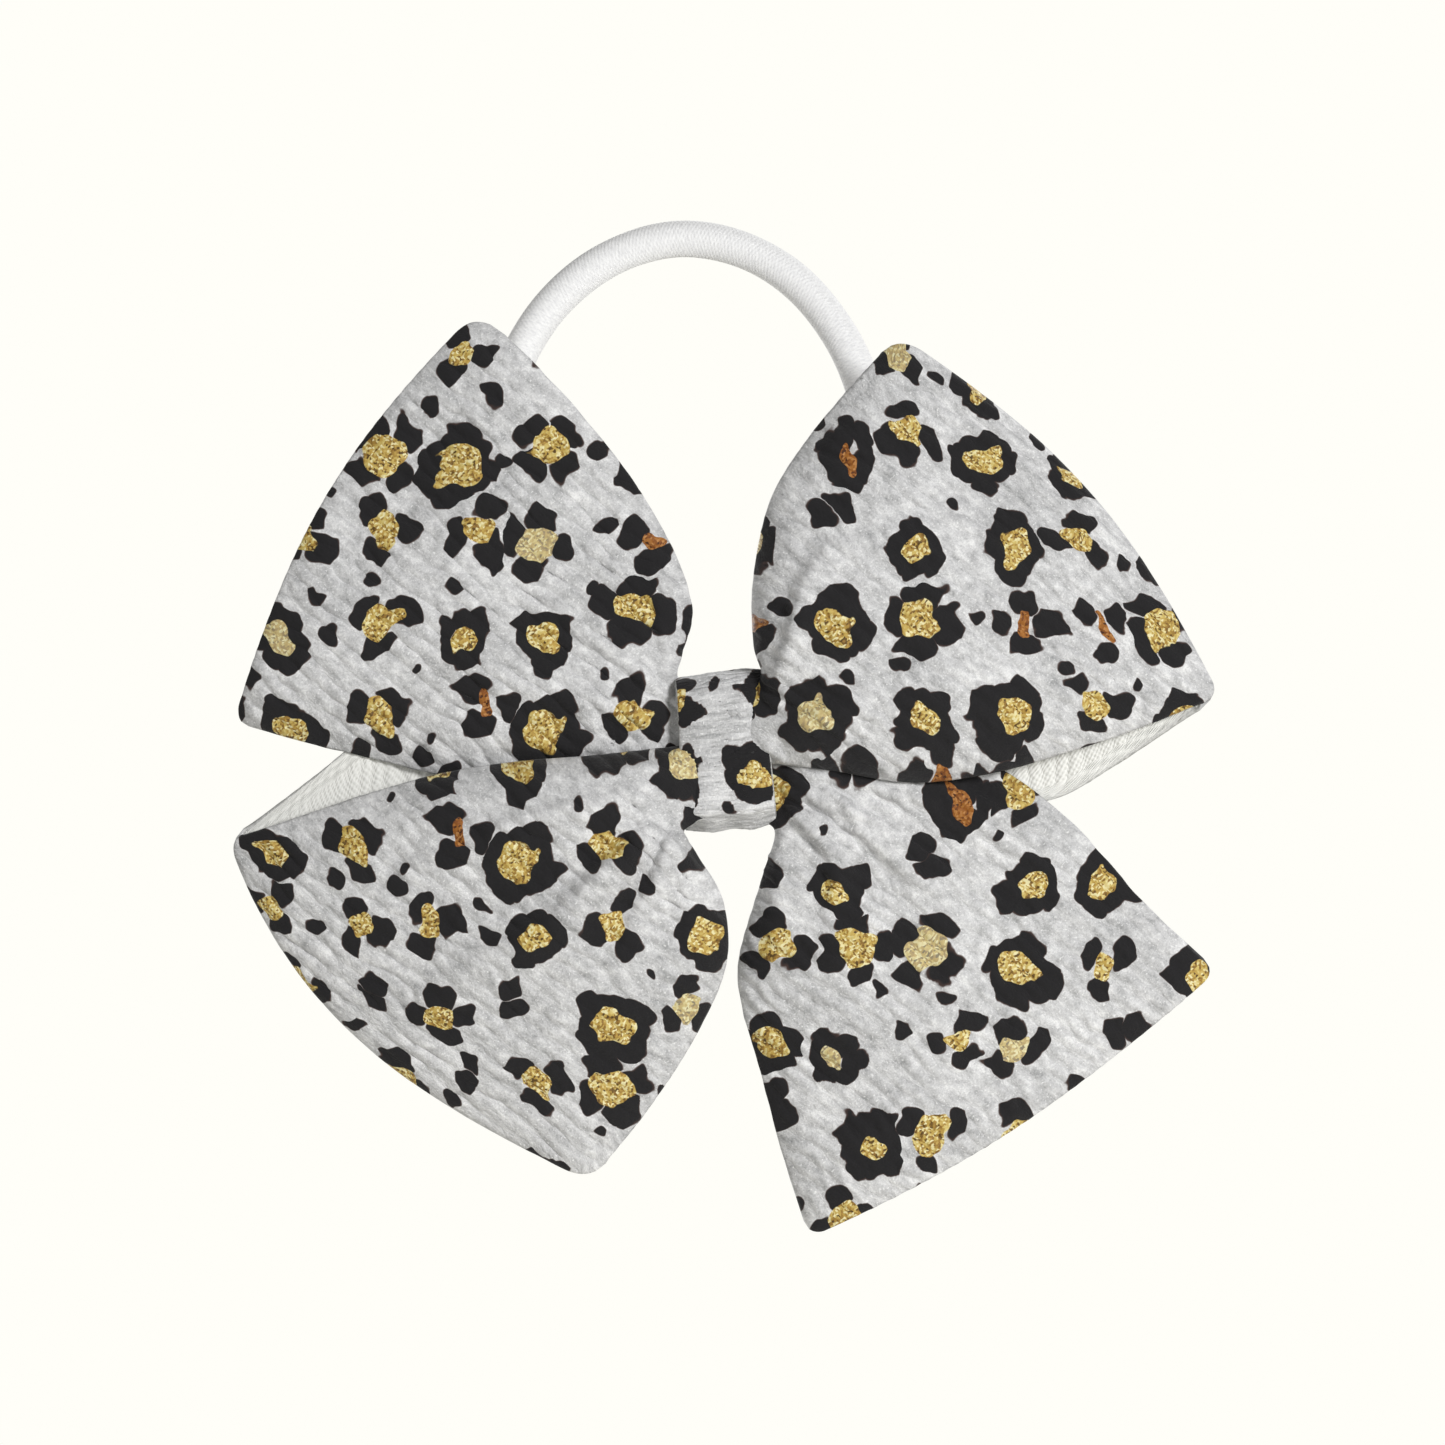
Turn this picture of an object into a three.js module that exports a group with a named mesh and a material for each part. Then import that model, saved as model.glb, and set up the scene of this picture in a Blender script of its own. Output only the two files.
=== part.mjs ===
// A pinwheel hair bow on a hair elastic, in millimetres.
// X runs to the wearer-facing viewer's right, Z is up, and Y runs from the bow's face to the hair.
// The origin is on the flat back of the centre wrap, the face that lies against the hair.
import * as THREE from 'three';
import { ParametricGeometry } from 'three/addons/geometries/ParametricGeometry.js';

// ---- driving dimensions ----
const CLOTH = 1.0;                 // thickness of the stretch knit
const CLEAR = 0.25;                // gap between pieces that lie against each other

const WRAP_WIDTH = 14.0;           // along X
const WRAP_TILT = -0.08;           // the knot leans to the left by 4.6 degrees, in radians
const WRAP_CORNER = 4.4;           // bend radius of the band's middle at its four corners
const WRAP_TAPER = 3.0;            // the band closes in by this much above and below towards the back
const FLAP_BEND = 0.52;            // how far the overlapping end turns round its corner, in radians
const GLUE_THICK = 0.5;
const THREAD_R = 0.3;
const THREAD_TURNS = 5;
const THREAD_PITCH = 1.3;

const CORE_HALF_HIGH = 11.0;       // the gathered strip inside the wrap
const CORE_HALF_DEEP = 3.5;
const CORE_PLEATS = 14;
const PLEAT_SHARE = 0.04;          // depth of the pleats, as a share of the core's size
const KNOT_Z = 0.45;               // height of the knot's middle

const ELASTIC_R = 3.0;             // knitted sheath, outside
const SHEATH_BORE_R = 1.9;
const RUBBER_R = 1.6;
const CRIMP_R = 3.6;
const CRIMP_LENGTH = 9;
const ELASTIC_LEAN = -0.1745;      // the loop leans back by 10 degrees, in radians

// ---- depths, worked out from the back of the wrap towards the face ----
const GLUE_GAP = GLUE_THICK + 2 * 0.2;
const OUTER_LAYER_Y = -CLOTH / 2;
const INNER_LAYER_Y = OUTER_LAYER_Y - CLOTH - GLUE_GAP;
const ELASTIC_Y = INNER_LAYER_Y - CLOTH / 2 - CLEAR - CRIMP_R;
const THREAD_BACK_Y = ELASTIC_Y - CRIMP_R - CLEAR;
const CORE_Y = THREAD_BACK_Y - 2 * THREAD_R - CLEAR - CORE_HALF_DEEP;
const THREAD_OFFSET = CLEAR + THREAD_R;
const BAND_FRONT_Y = CORE_Y - CORE_HALF_DEEP - 2 * THREAD_R - 2 * CLEAR - CLOTH / 2;
const BAND_HALF_HIGH = CORE_HALF_HIGH + 2 * THREAD_R + 2 * CLEAR + CLOTH / 2;

// The strip passes through the knot three times, one layer behind another.
const LAYER_STEP = 3.5;
const FRONT_PUFF = 7.0;            // how far a loop's front layer swells forwards
const BACK_PUFF = 1.5;
const LOOP_ROUNDNESS = 0.8;        // 1 is an ellipse, less is squarer
const BACK_END = 0.93;             // the back layer stops just short of the fold
const EDGE_PUFF = 0.55;            // share of a loop's swell that is left at its long edges
const TAIL_SWELL = 3.0;            // how far a tail's middle swells forwards
const TAIL_TWIST = 1.5;            // how far a tail's free end waves to either side

const cloth = new THREE.MeshStandardMaterial({ color: 0xd6d6d8, roughness: 0.85, metalness: 0 });
const wrongSide = new THREE.MeshStandardMaterial({ color: 0xefefea, roughness: 0.9, metalness: 0 });
const thread = new THREE.MeshStandardMaterial({ color: 0xf4f4f0, roughness: 0.6, metalness: 0 });
const glue = new THREE.MeshStandardMaterial({ color: 0xe8e4d4, roughness: 0.35, metalness: 0 });
const sheath = new THREE.MeshStandardMaterial({ color: 0xededed, roughness: 0.8, metalness: 0 });
const rubber = new THREE.MeshStandardMaterial({ color: 0xd9d2c0, roughness: 0.7, metalness: 0 });
const metal = new THREE.MeshStandardMaterial({ color: 0xb8b8bc, roughness: 0.35, metalness: 1 });

function piece(name, geometry, material) {
  const mesh = new THREE.Mesh(geometry, material);
  mesh.name = name;
  return mesh;
}

// Extrudes an outline drawn in (Z, Y) by a width that is centred on X = 0.
function acrossKnot(shape, width) {
  const geometry = new THREE.ExtrudeGeometry(shape, { depth: width, bevelEnabled: false, curveSegments: 8 });
  geometry.translate(0, 0, -width / 2);
  geometry.rotateY(-Math.PI / 2);
  return geometry;
}

// A regular section of a round cord, with an optional bore.
function roundSection(radius, sides, boreRadius = 0) {
  const ring = (r, n) => Array.from({ length: n }, (_, i) => {
    const turn = (i / n) * 2 * Math.PI;
    return new THREE.Vector2(r * Math.cos(turn), r * Math.sin(turn));
  });
  const shape = new THREE.Shape(ring(radius, sides));
  if (boreRadius > 0) {
    shape.holes.push(new THREE.Path(ring(boreRadius, 8)));
  }
  return shape;
}

// ---- the knot ----

// A rounded rectangle with half sizes high and deep, as a function of the angle round it.
function roundedLoop(high, deep, angle) {
  const soft = (x) => Math.sign(x) * Math.sqrt(Math.abs(x));
  return new THREE.Vector2(KNOT_Z + high * soft(Math.cos(angle)), CORE_Y + deep * soft(Math.sin(angle)));
}

// Three passes of the strip squeezed together: the outline ripples once for each pleat.
function gatheredCore() {
  const steps = CORE_PLEATS * 4;
  const outline = Array.from({ length: steps }, (_, i) => {
    const angle = (i / steps) * 2 * Math.PI;
    const ripple = 1 - PLEAT_SHARE + PLEAT_SHARE * Math.cos(CORE_PLEATS * angle);
    return roundedLoop(CORE_HALF_HIGH * ripple, CORE_HALF_DEEP * ripple, angle);
  });
  return piece('gathered_core', acrossKnot(new THREE.Shape(outline), WRAP_WIDTH - 1), wrongSide);
}

// The binding thread lies in an open coil round the core.
function cinchThread() {
  const turnSteps = 18;
  const points = [];
  for (let i = 0; i <= THREAD_TURNS * turnSteps; i += 1) {
    const turns = i / turnSteps;
    const at = roundedLoop(CORE_HALF_HIGH + THREAD_OFFSET, CORE_HALF_DEEP + THREAD_OFFSET, turns * 2 * Math.PI);
    points.push(new THREE.Vector3((turns - THREAD_TURNS / 2) * THREAD_PITCH, at.y, at.x));
  }
  const path = new THREE.CatmullRomCurve3(points);
  const geometry = new THREE.ExtrudeGeometry(roundSection(THREAD_R, 6), {
    steps: THREAD_TURNS * turnSteps, bevelEnabled: false, extrudePath: path,
  });
  return piece('cinch_thread', geometry, thread);
}

// Heights of the centres of the band's bends, in front and behind.
const BEND_LOW = KNOT_Z - BAND_HALF_HIGH + WRAP_CORNER;
const BEND_HIGH = KNOT_Z + BAND_HALF_HIGH - WRAP_CORNER;
const BACK_LOW = BEND_LOW + WRAP_TAPER;
const BACK_HIGH = BEND_HIGH - WRAP_TAPER;
const BACK_BEND_Y = INNER_LAYER_Y - WRAP_CORNER;

// A bend of the band's middle line about a centre in (Z, Y).
function bend(z, y, from, to, radius = WRAP_CORNER) {
  return new THREE.EllipseCurve(z, y, radius, radius, from, to, false);
}

// The band's middle line in (Z, Y). It starts under its own end, goes down, round the front,
// and comes back over the outside. Its top and bottom slope together towards the back.
function bandLine() {
  const front = BAND_FRONT_Y + WRAP_CORNER;
  const outerBend = OUTER_LAYER_Y - WRAP_CORNER;
  const half = Math.PI / 2;
  const lowSlope = Math.PI - Math.atan(WRAP_TAPER / (BACK_BEND_Y - front));
  const highSlope = Math.atan(WRAP_TAPER / (outerBend - front));
  const straight = (a, b) => new THREE.LineCurve(a, b);
  const flat = (z, y) => new THREE.Vector2(z, y);
  const flap = bend(BACK_LOW, BACK_BEND_Y, half, half + FLAP_BEND, OUTER_LAYER_Y - BACK_BEND_Y);
  const backLow = bend(BACK_LOW, BACK_BEND_Y, half, lowSlope);
  const frontLow = bend(BEND_LOW, front, lowSlope, 3 * half);
  const frontHigh = bend(BEND_HIGH, front, -half, highSlope);
  const backHigh = bend(BACK_HIGH, outerBend, highSlope, half);
  return [
    straight(flat(KNOT_Z + 2, INNER_LAYER_Y), flat(BACK_LOW, INNER_LAYER_Y)),
    backLow,
    straight(backLow.getPoint(1), frontLow.getPoint(0)),
    frontLow,
    straight(flat(BEND_LOW, BAND_FRONT_Y), flat(BEND_HIGH, BAND_FRONT_Y)),
    frontHigh,
    straight(frontHigh.getPoint(1), backHigh.getPoint(0)),
    backHigh,
    straight(flat(BACK_HIGH, OUTER_LAYER_Y), flat(BACK_LOW, OUTER_LAYER_Y)),
    flap,
  ];
}

// The band's outline: its middle line moved by half a thickness to each side.
function centreWrap() {
  const sides = [[], []];
  for (const stretch of bandLine()) {
    const steps = stretch instanceof THREE.LineCurve ? 1 : 6;
    for (let i = 0; i <= steps; i += 1) {
      const at = stretch.getPoint(i / steps);
      const along = stretch.getTangent(i / steps);
      const side = new THREE.Vector2(-along.y, along.x).multiplyScalar(CLOTH / 2);
      const last = sides[0][sides[0].length - 1];
      if (!last || last.distanceTo(at.clone().add(side)) > 0.01) {
        sides[0].push(at.clone().add(side));
        sides[1].push(at.clone().sub(side));
      }
    }
  }
  const outline = new THREE.Shape([...sides[0], ...sides[1].reverse()]);
  return piece('centre_wrap', acrossKnot(outline, WRAP_WIDTH), cloth);
}

// A flattened bead of hot glue between the band's two layers at the back.
function wrapGlueBead() {
  const top = KNOT_Z + 1.5;
  const bead = new THREE.Shape();
  bead.absellipse(0, 0, WRAP_WIDTH / 2 - 1.5, (top - BACK_LOW) / 2, 0, 2 * Math.PI, false, 0);
  const geometry = new THREE.ExtrudeGeometry(bead, { depth: GLUE_THICK, bevelEnabled: false, curveSegments: 6 });
  geometry.translate(0, 0, -GLUE_THICK / 2);
  geometry.rotateX(Math.PI / 2);
  const mesh = piece('wrap_glue_bead', geometry, glue);
  mesh.position.set(0, (INNER_LAYER_Y + OUTER_LAYER_Y) / 2, (top + BACK_LOW) / 2);
  return mesh;
}

// One zigzag of thread tacks the overlapping end down where it turns the lower corner.
function wrapTackingStitches() {
  const overFlap = OUTER_LAYER_Y - BACK_BEND_Y + CLOTH / 2;
  const onBand = WRAP_CORNER + CLOTH / 2 + CLEAR + THREAD_R;
  const count = 9;
  const points = Array.from({ length: count }, (_, i) => {
    const radius = i % 2 ? onBand : overFlap;
    const angle = FLAP_BEND + (i % 2 ? 0.42 : 0.1);
    const x = (i / (count - 1) - 0.5) * (WRAP_WIDTH - 4);
    return new THREE.Vector3(x, BACK_BEND_Y + radius * Math.cos(angle), BACK_LOW - radius * Math.sin(angle));
  });
  const path = new THREE.CatmullRomCurve3(points, false, 'catmullrom', 0.2);
  const geometry = new THREE.ExtrudeGeometry(roundSection(THREAD_R, 6), {
    steps: 48, bevelEnabled: false, extrudePath: path,
  });
  return piece('wrap_tacking_stitches', geometry, thread);
}

// ---- the four lobes of the folded strip ----

// Each lobe's two long edges in (X, Z), from the knot outwards, and the swell of its outer edge.
const LOBES = {
  upperLeft: {
    high: [[-8.9, 12.4], [-7.4, 17], [-5.7, 24], [-9.5, 34.9], [-17.3, 47.4], [-28, 60], [-40, 71]],
    low: [[-7.6, -1.5], [-22, -2.2], [-37, -3.2], [-46, -3], [-56, -0.6], [-67, 2], [-78.9, 6]],
    bow: 5.7,
    bowPeak: 0.95,
  },
  upperRight: {
    high: [[6.6, 13.8], [4.9, 19], [4.9, 28], [7.5, 40.6], [13, 50], [20.3, 59], [28.1, 66.8]],
    low: [[7.5, -0.5], [17.5, -2.2], [30.3, -4.1], [42.8, -2.7], [54.6, 0.5], [66, 4.2], [79.2, 10]],
    lowBehind: [[7.5, -1.5], [18, -3], [30, -5.2], [42, -7.6], [53, -7.2], [63, -1.8], [79.2, 10]],
    bow: 6.1,
    bowPeak: 1,
  },
  lowerLeft: {
    high: [[-7.5, 1], [-21.3, -0.5], [-32.9, -1.4], [-45, -3.2], [-57, -6.4], [-69.2, -10.4], [-79.2, -14]],
    highBehind: [[-7.5, 1.5], [-20, 2], [-34, 3.4], [-46, 5], [-57, 3.4], [-67, -4], [-79.2, -14]],
    low: [[-7.3, -12.4], [-5.6, -17.4], [-0.8, -25], [-0.4, -35], [-6, -47], [-14, -59], [-22, -68]],
    bow: 9,
    bowPeak: 0.85,
  },
  lowerRight: {
    high: [[7.5, 1], [22, 1.6], [36, 0.6], [46, -3.4], [57.1, -12.2], [68, -24.4], [79, -35]],
    low: [[8.8, -12], [6.4, -20], [2.3, -34], [3.1, -41], [5.8, -50.5], [9.4, -64], [14, -77.4]],
    bow: 3.2,
    bowPeak: 1,
  },
};

const edge = (points) => new THREE.SplineCurve(points.map(([x, z]) => new THREE.Vector2(x, z)));

// The lobe's flat outline filled in: along runs from the knot to the outer edge, across from high to low.
function outlineFill(high, low, bow, bowPeak) {
  const highEdge = edge(high);
  const lowEdge = edge(low);
  const outward = new THREE.Vector2(high[6][1] - low[6][1], low[6][0] - high[6][0]).normalize();
  const middle = new THREE.Vector2((high[6][0] + low[6][0]) / 2, (high[6][1] + low[6][1]) / 2);
  if (outward.dot(middle) < 0) {
    outward.negate();
  }
  return (along, across) => {
    const swell = bow * Math.sin(Math.PI * across ** bowPeak) * along ** 2;
    return highEdge.getPoint(along).lerp(lowEdge.getPoint(along), across).addScaledVector(outward, swell);
  };
}

// A closed sheet of cloth: place(along, across) is its middle surface.
function clothSheet(place, alongSteps = 14, acrossSteps = 12) {
  const step = 0.002;
  const inside = (t) => Math.min(1 - step, Math.max(step, t));
  const facing = (along, across) => {
    const [a, c] = [inside(along), inside(across)];
    const du = place(a + step, c).sub(place(a - step, c));
    const dv = place(a, c + step).sub(place(a, c - step));
    return du.cross(dv).normalize();
  };
  const surface = (round, along, target) => {
    const front = round <= 0.5;
    const across = front ? 2 * round : 2 - 2 * round;
    const rim = [0, 1].includes(along) || [0, 1].includes(across);
    const offset = rim ? 0 : (front ? 0.5 : -0.5) * CLOTH;
    target.copy(place(along, across)).addScaledVector(facing(along, across), offset);
  };
  return new ParametricGeometry(surface, 2 * acrossSteps, alongSteps);
}

function outwards(geometry) {
  const at = geometry.attributes.position;
  const index = geometry.index;
  const corner = (i) => new THREE.Vector3().fromBufferAttribute(at, index.getX(i));
  let volume = 0;
  for (let i = 0; i < index.count; i += 3) {
    volume += corner(i).dot(corner(i + 1).cross(corner(i + 2)));
  }
  if (volume < 0) {
    for (let i = 0; i < index.count; i += 3) {
      const second = index.getX(i + 1);
      index.setX(i + 1, index.getX(i + 2));
      index.setX(i + 2, second);
    }
  }
  return geometry;
}

// A tail is a single layer between the loops' two layers; it swells a little and twists at its free end.
function tail(name, { high, low, bow, bowPeak }) {
  const flat = outlineFill(high, low, bow, bowPeak);
  const place = (along, across) => {
    const at = flat(along, across);
    const swell = TAIL_SWELL * Math.sin(Math.PI * along) * Math.sin(Math.PI * across);
    const twist = TAIL_TWIST * along * Math.sin(2 * Math.PI * across);
    return new THREE.Vector3(at.x, CORE_Y - swell + twist, at.y);
  };
  return piece(name, outwards(clothSheet(place)), cloth);
}

// A loop's layer runs out from the knot and turns in to the fold. side is -1 in front and 1 behind.
function loopLayer(name, high, low, lobe, side, material) {
  const flat = outlineFill(high, low, lobe.bow, lobe.bowPeak);
  const reach = side < 0 ? 1 : BACK_END;
  const puff = side < 0 ? FRONT_PUFF : BACK_PUFF;
  const place = (along, across) => {
    const turn = (reach * along * Math.PI) / 2;
    const out = Math.sin(turn) ** LOOP_ROUNDNESS;
    const closing = Math.max(0, Math.cos(turn)) ** LOOP_ROUNDNESS;
    const at = flat(out, across);
    const fullness = EDGE_PUFF + (1 - EDGE_PUFF) * Math.sin(Math.PI * across);
    const swell = puff * Math.sin(Math.PI * out) * fullness;
    return new THREE.Vector3(at.x, CORE_Y + side * (LAYER_STEP * closing + swell), at.y);
  };
  return piece(name, outwards(clothSheet(place)), material);
}

function loop(name, lobe) {
  const behind = { high: lobe.highBehind ?? lobe.high, low: lobe.lowBehind ?? lobe.low };
  return [
    loopLayer(`${name}_front`, lobe.high, lobe.low, lobe, -1, cloth),
    loopLayer(`${name}_back`, behind.high, behind.low, lobe, 1, wrongSide),
  ];
}

// ---- the hair elastic ----

// The loop's middle line in its own plane, from the knot's left side over the crown to its right side.
const ELASTIC_ROUTE = [
  [-7.5, 0], [-10, 0], [-15, 2.2], [-21, 8.5], [-27.5, 20], [-33.5, 34], [-37, 47], [-37.3, 57], [-34.1, 66.5],
  [-27.9, 76.2], [-19.1, 83.3], [-10.4, 86.3], [-4, 86.6], [6.3, 83.3], [12.9, 78.4], [17.2, 73],
  [20.3, 68.1], [22.1, 63.6], [24.3, 56], [25.4, 45], [24.6, 32], [21.6, 18],
  [17, 7.8], [13, 2.2], [10, 0], [7.5, 0],
];
const CROWN_FROM = 0.31;           // where the crown starts and ends, as shares of the route
const CROWN_TO = 0.69;
const JOINT_GAP = 0.0006;          // half the gap between stretches, as a share of the route

const route = new THREE.CatmullRomCurve3(ELASTIC_ROUTE.map(([x, s]) => new THREE.Vector3(x, 0, s)));
route.arcLengthDivisions = 400;

class Stretch extends THREE.Curve {
  constructor(from, to) {
    super();
    this.from = from;
    this.to = to;
  }

  getPoint(t, target = new THREE.Vector3()) {
    return target.copy(route.getPointAt(this.from + (this.to - this.from) * t));
  }
}

function elasticStretch(where, path, steps) {
  const along = (shape) => new THREE.ExtrudeGeometry(shape, { steps, bevelEnabled: false, extrudePath: path });
  return [
    piece(`elastic_sheath_${where}`, along(roundSection(ELASTIC_R, 10, SHEATH_BORE_R)), sheath),
    piece(`elastic_rubber_${where}`, along(roundSection(RUBBER_R, 8)), rubber),
  ];
}

// A metal ferrule joins the elastic's two ends, hidden inside the wrap.
function elasticCrimp() {
  const inside = ELASTIC_R + 0.15;
  const half = CRIMP_LENGTH / 2;
  const profile = [[inside, -half], [CRIMP_R, -half], [CRIMP_R, half], [inside, half], [inside, -half]];
  const geometry = new THREE.LatheGeometry(profile.map(([r, y]) => new THREE.Vector2(r, y)), 20);
  geometry.rotateZ(Math.PI / 2);
  return piece('elastic_crimp', geometry, metal);
}

function hairElastic() {
  const [startX] = ELASTIC_ROUTE[0];
  const held = startX + 0.4;
  const channel = new THREE.LineCurve3(new THREE.Vector3(held, 0, 0), new THREE.Vector3(-held, 0, 0));
  const loopPieces = new THREE.Group();
  loopPieces.add(
    ...elasticStretch('channel', channel, 1),
    elasticCrimp(),
    ...elasticStretch('left_leg', new Stretch(0, CROWN_FROM - JOINT_GAP), 22),
    ...elasticStretch('crown', new Stretch(CROWN_FROM + JOINT_GAP, CROWN_TO - JOINT_GAP), 24),
    ...elasticStretch('right_leg', new Stretch(CROWN_TO + JOINT_GAP, 1), 22),
  );
  loopPieces.position.y = ELASTIC_Y;
  loopPieces.rotation.x = ELASTIC_LEAN;
  return loopPieces;
}

// ---- the whole bow ----

const knot = new THREE.Group();
knot.rotation.y = WRAP_TILT;
knot.add(gatheredCore(), cinchThread(), centreWrap(), wrapGlueBead(), wrapTackingStitches());

const bow = new THREE.Group();
bow.add(
  knot,
  tail('upper_left_tail', LOBES.upperLeft),
  tail('lower_right_tail', LOBES.lowerRight),
  ...loop('upper_right_loop', LOBES.upperRight),
  ...loop('lower_left_loop', LOBES.lowerLeft),
  hairElastic(),
);

export default bow;
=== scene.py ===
import math

import bpy
import numpy as np
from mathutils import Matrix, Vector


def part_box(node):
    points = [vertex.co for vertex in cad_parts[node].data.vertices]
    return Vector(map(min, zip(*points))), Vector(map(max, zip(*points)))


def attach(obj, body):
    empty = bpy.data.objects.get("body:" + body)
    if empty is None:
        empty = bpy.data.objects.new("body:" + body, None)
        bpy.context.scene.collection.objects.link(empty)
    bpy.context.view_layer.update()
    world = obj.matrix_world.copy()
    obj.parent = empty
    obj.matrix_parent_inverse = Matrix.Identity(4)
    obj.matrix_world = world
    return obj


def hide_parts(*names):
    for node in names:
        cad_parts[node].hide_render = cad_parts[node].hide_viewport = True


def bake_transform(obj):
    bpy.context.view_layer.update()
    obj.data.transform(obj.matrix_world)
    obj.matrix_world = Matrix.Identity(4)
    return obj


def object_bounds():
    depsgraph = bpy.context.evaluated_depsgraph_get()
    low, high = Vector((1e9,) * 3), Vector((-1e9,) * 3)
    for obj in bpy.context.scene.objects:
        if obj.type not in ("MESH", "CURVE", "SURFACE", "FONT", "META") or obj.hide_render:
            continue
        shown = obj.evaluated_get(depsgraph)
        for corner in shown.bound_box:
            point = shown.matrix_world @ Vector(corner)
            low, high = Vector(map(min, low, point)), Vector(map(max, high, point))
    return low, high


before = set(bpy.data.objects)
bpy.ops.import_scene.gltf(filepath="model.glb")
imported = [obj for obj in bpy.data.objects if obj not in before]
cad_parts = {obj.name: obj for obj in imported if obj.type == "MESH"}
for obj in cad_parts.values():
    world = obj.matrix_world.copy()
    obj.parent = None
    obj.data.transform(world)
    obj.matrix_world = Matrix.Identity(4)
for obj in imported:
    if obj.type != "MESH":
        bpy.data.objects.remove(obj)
cad_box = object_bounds()

bl_info = {
    "name": "Pinwheel Hair Bow",
    "version": (1, 0, 0),
    "blender": (4, 5, 0),
    "location": "View3D > Sidebar > Hair Bow",
    "description": "Builds a pinwheel cheer bow of spotted stretch knit on a round hair elastic",
    "category": "Add Mesh",
}

MM = 0.001


def from_hex(code):
    """An sRGB hex colour as linear RGB."""
    channels = [int(code[i : i + 2], 16) / 255 for i in (1, 3, 5)]
    return [c / 12.92 if c <= 0.04045 else ((c + 0.055) / 1.055) ** 2.4 for c in channels]


def rgba(colour):
    """A linear RGB colour with full alpha."""
    return (*colour, 1.0)


# ---------------------------------------------------------------- outlines, in millimetres

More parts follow.
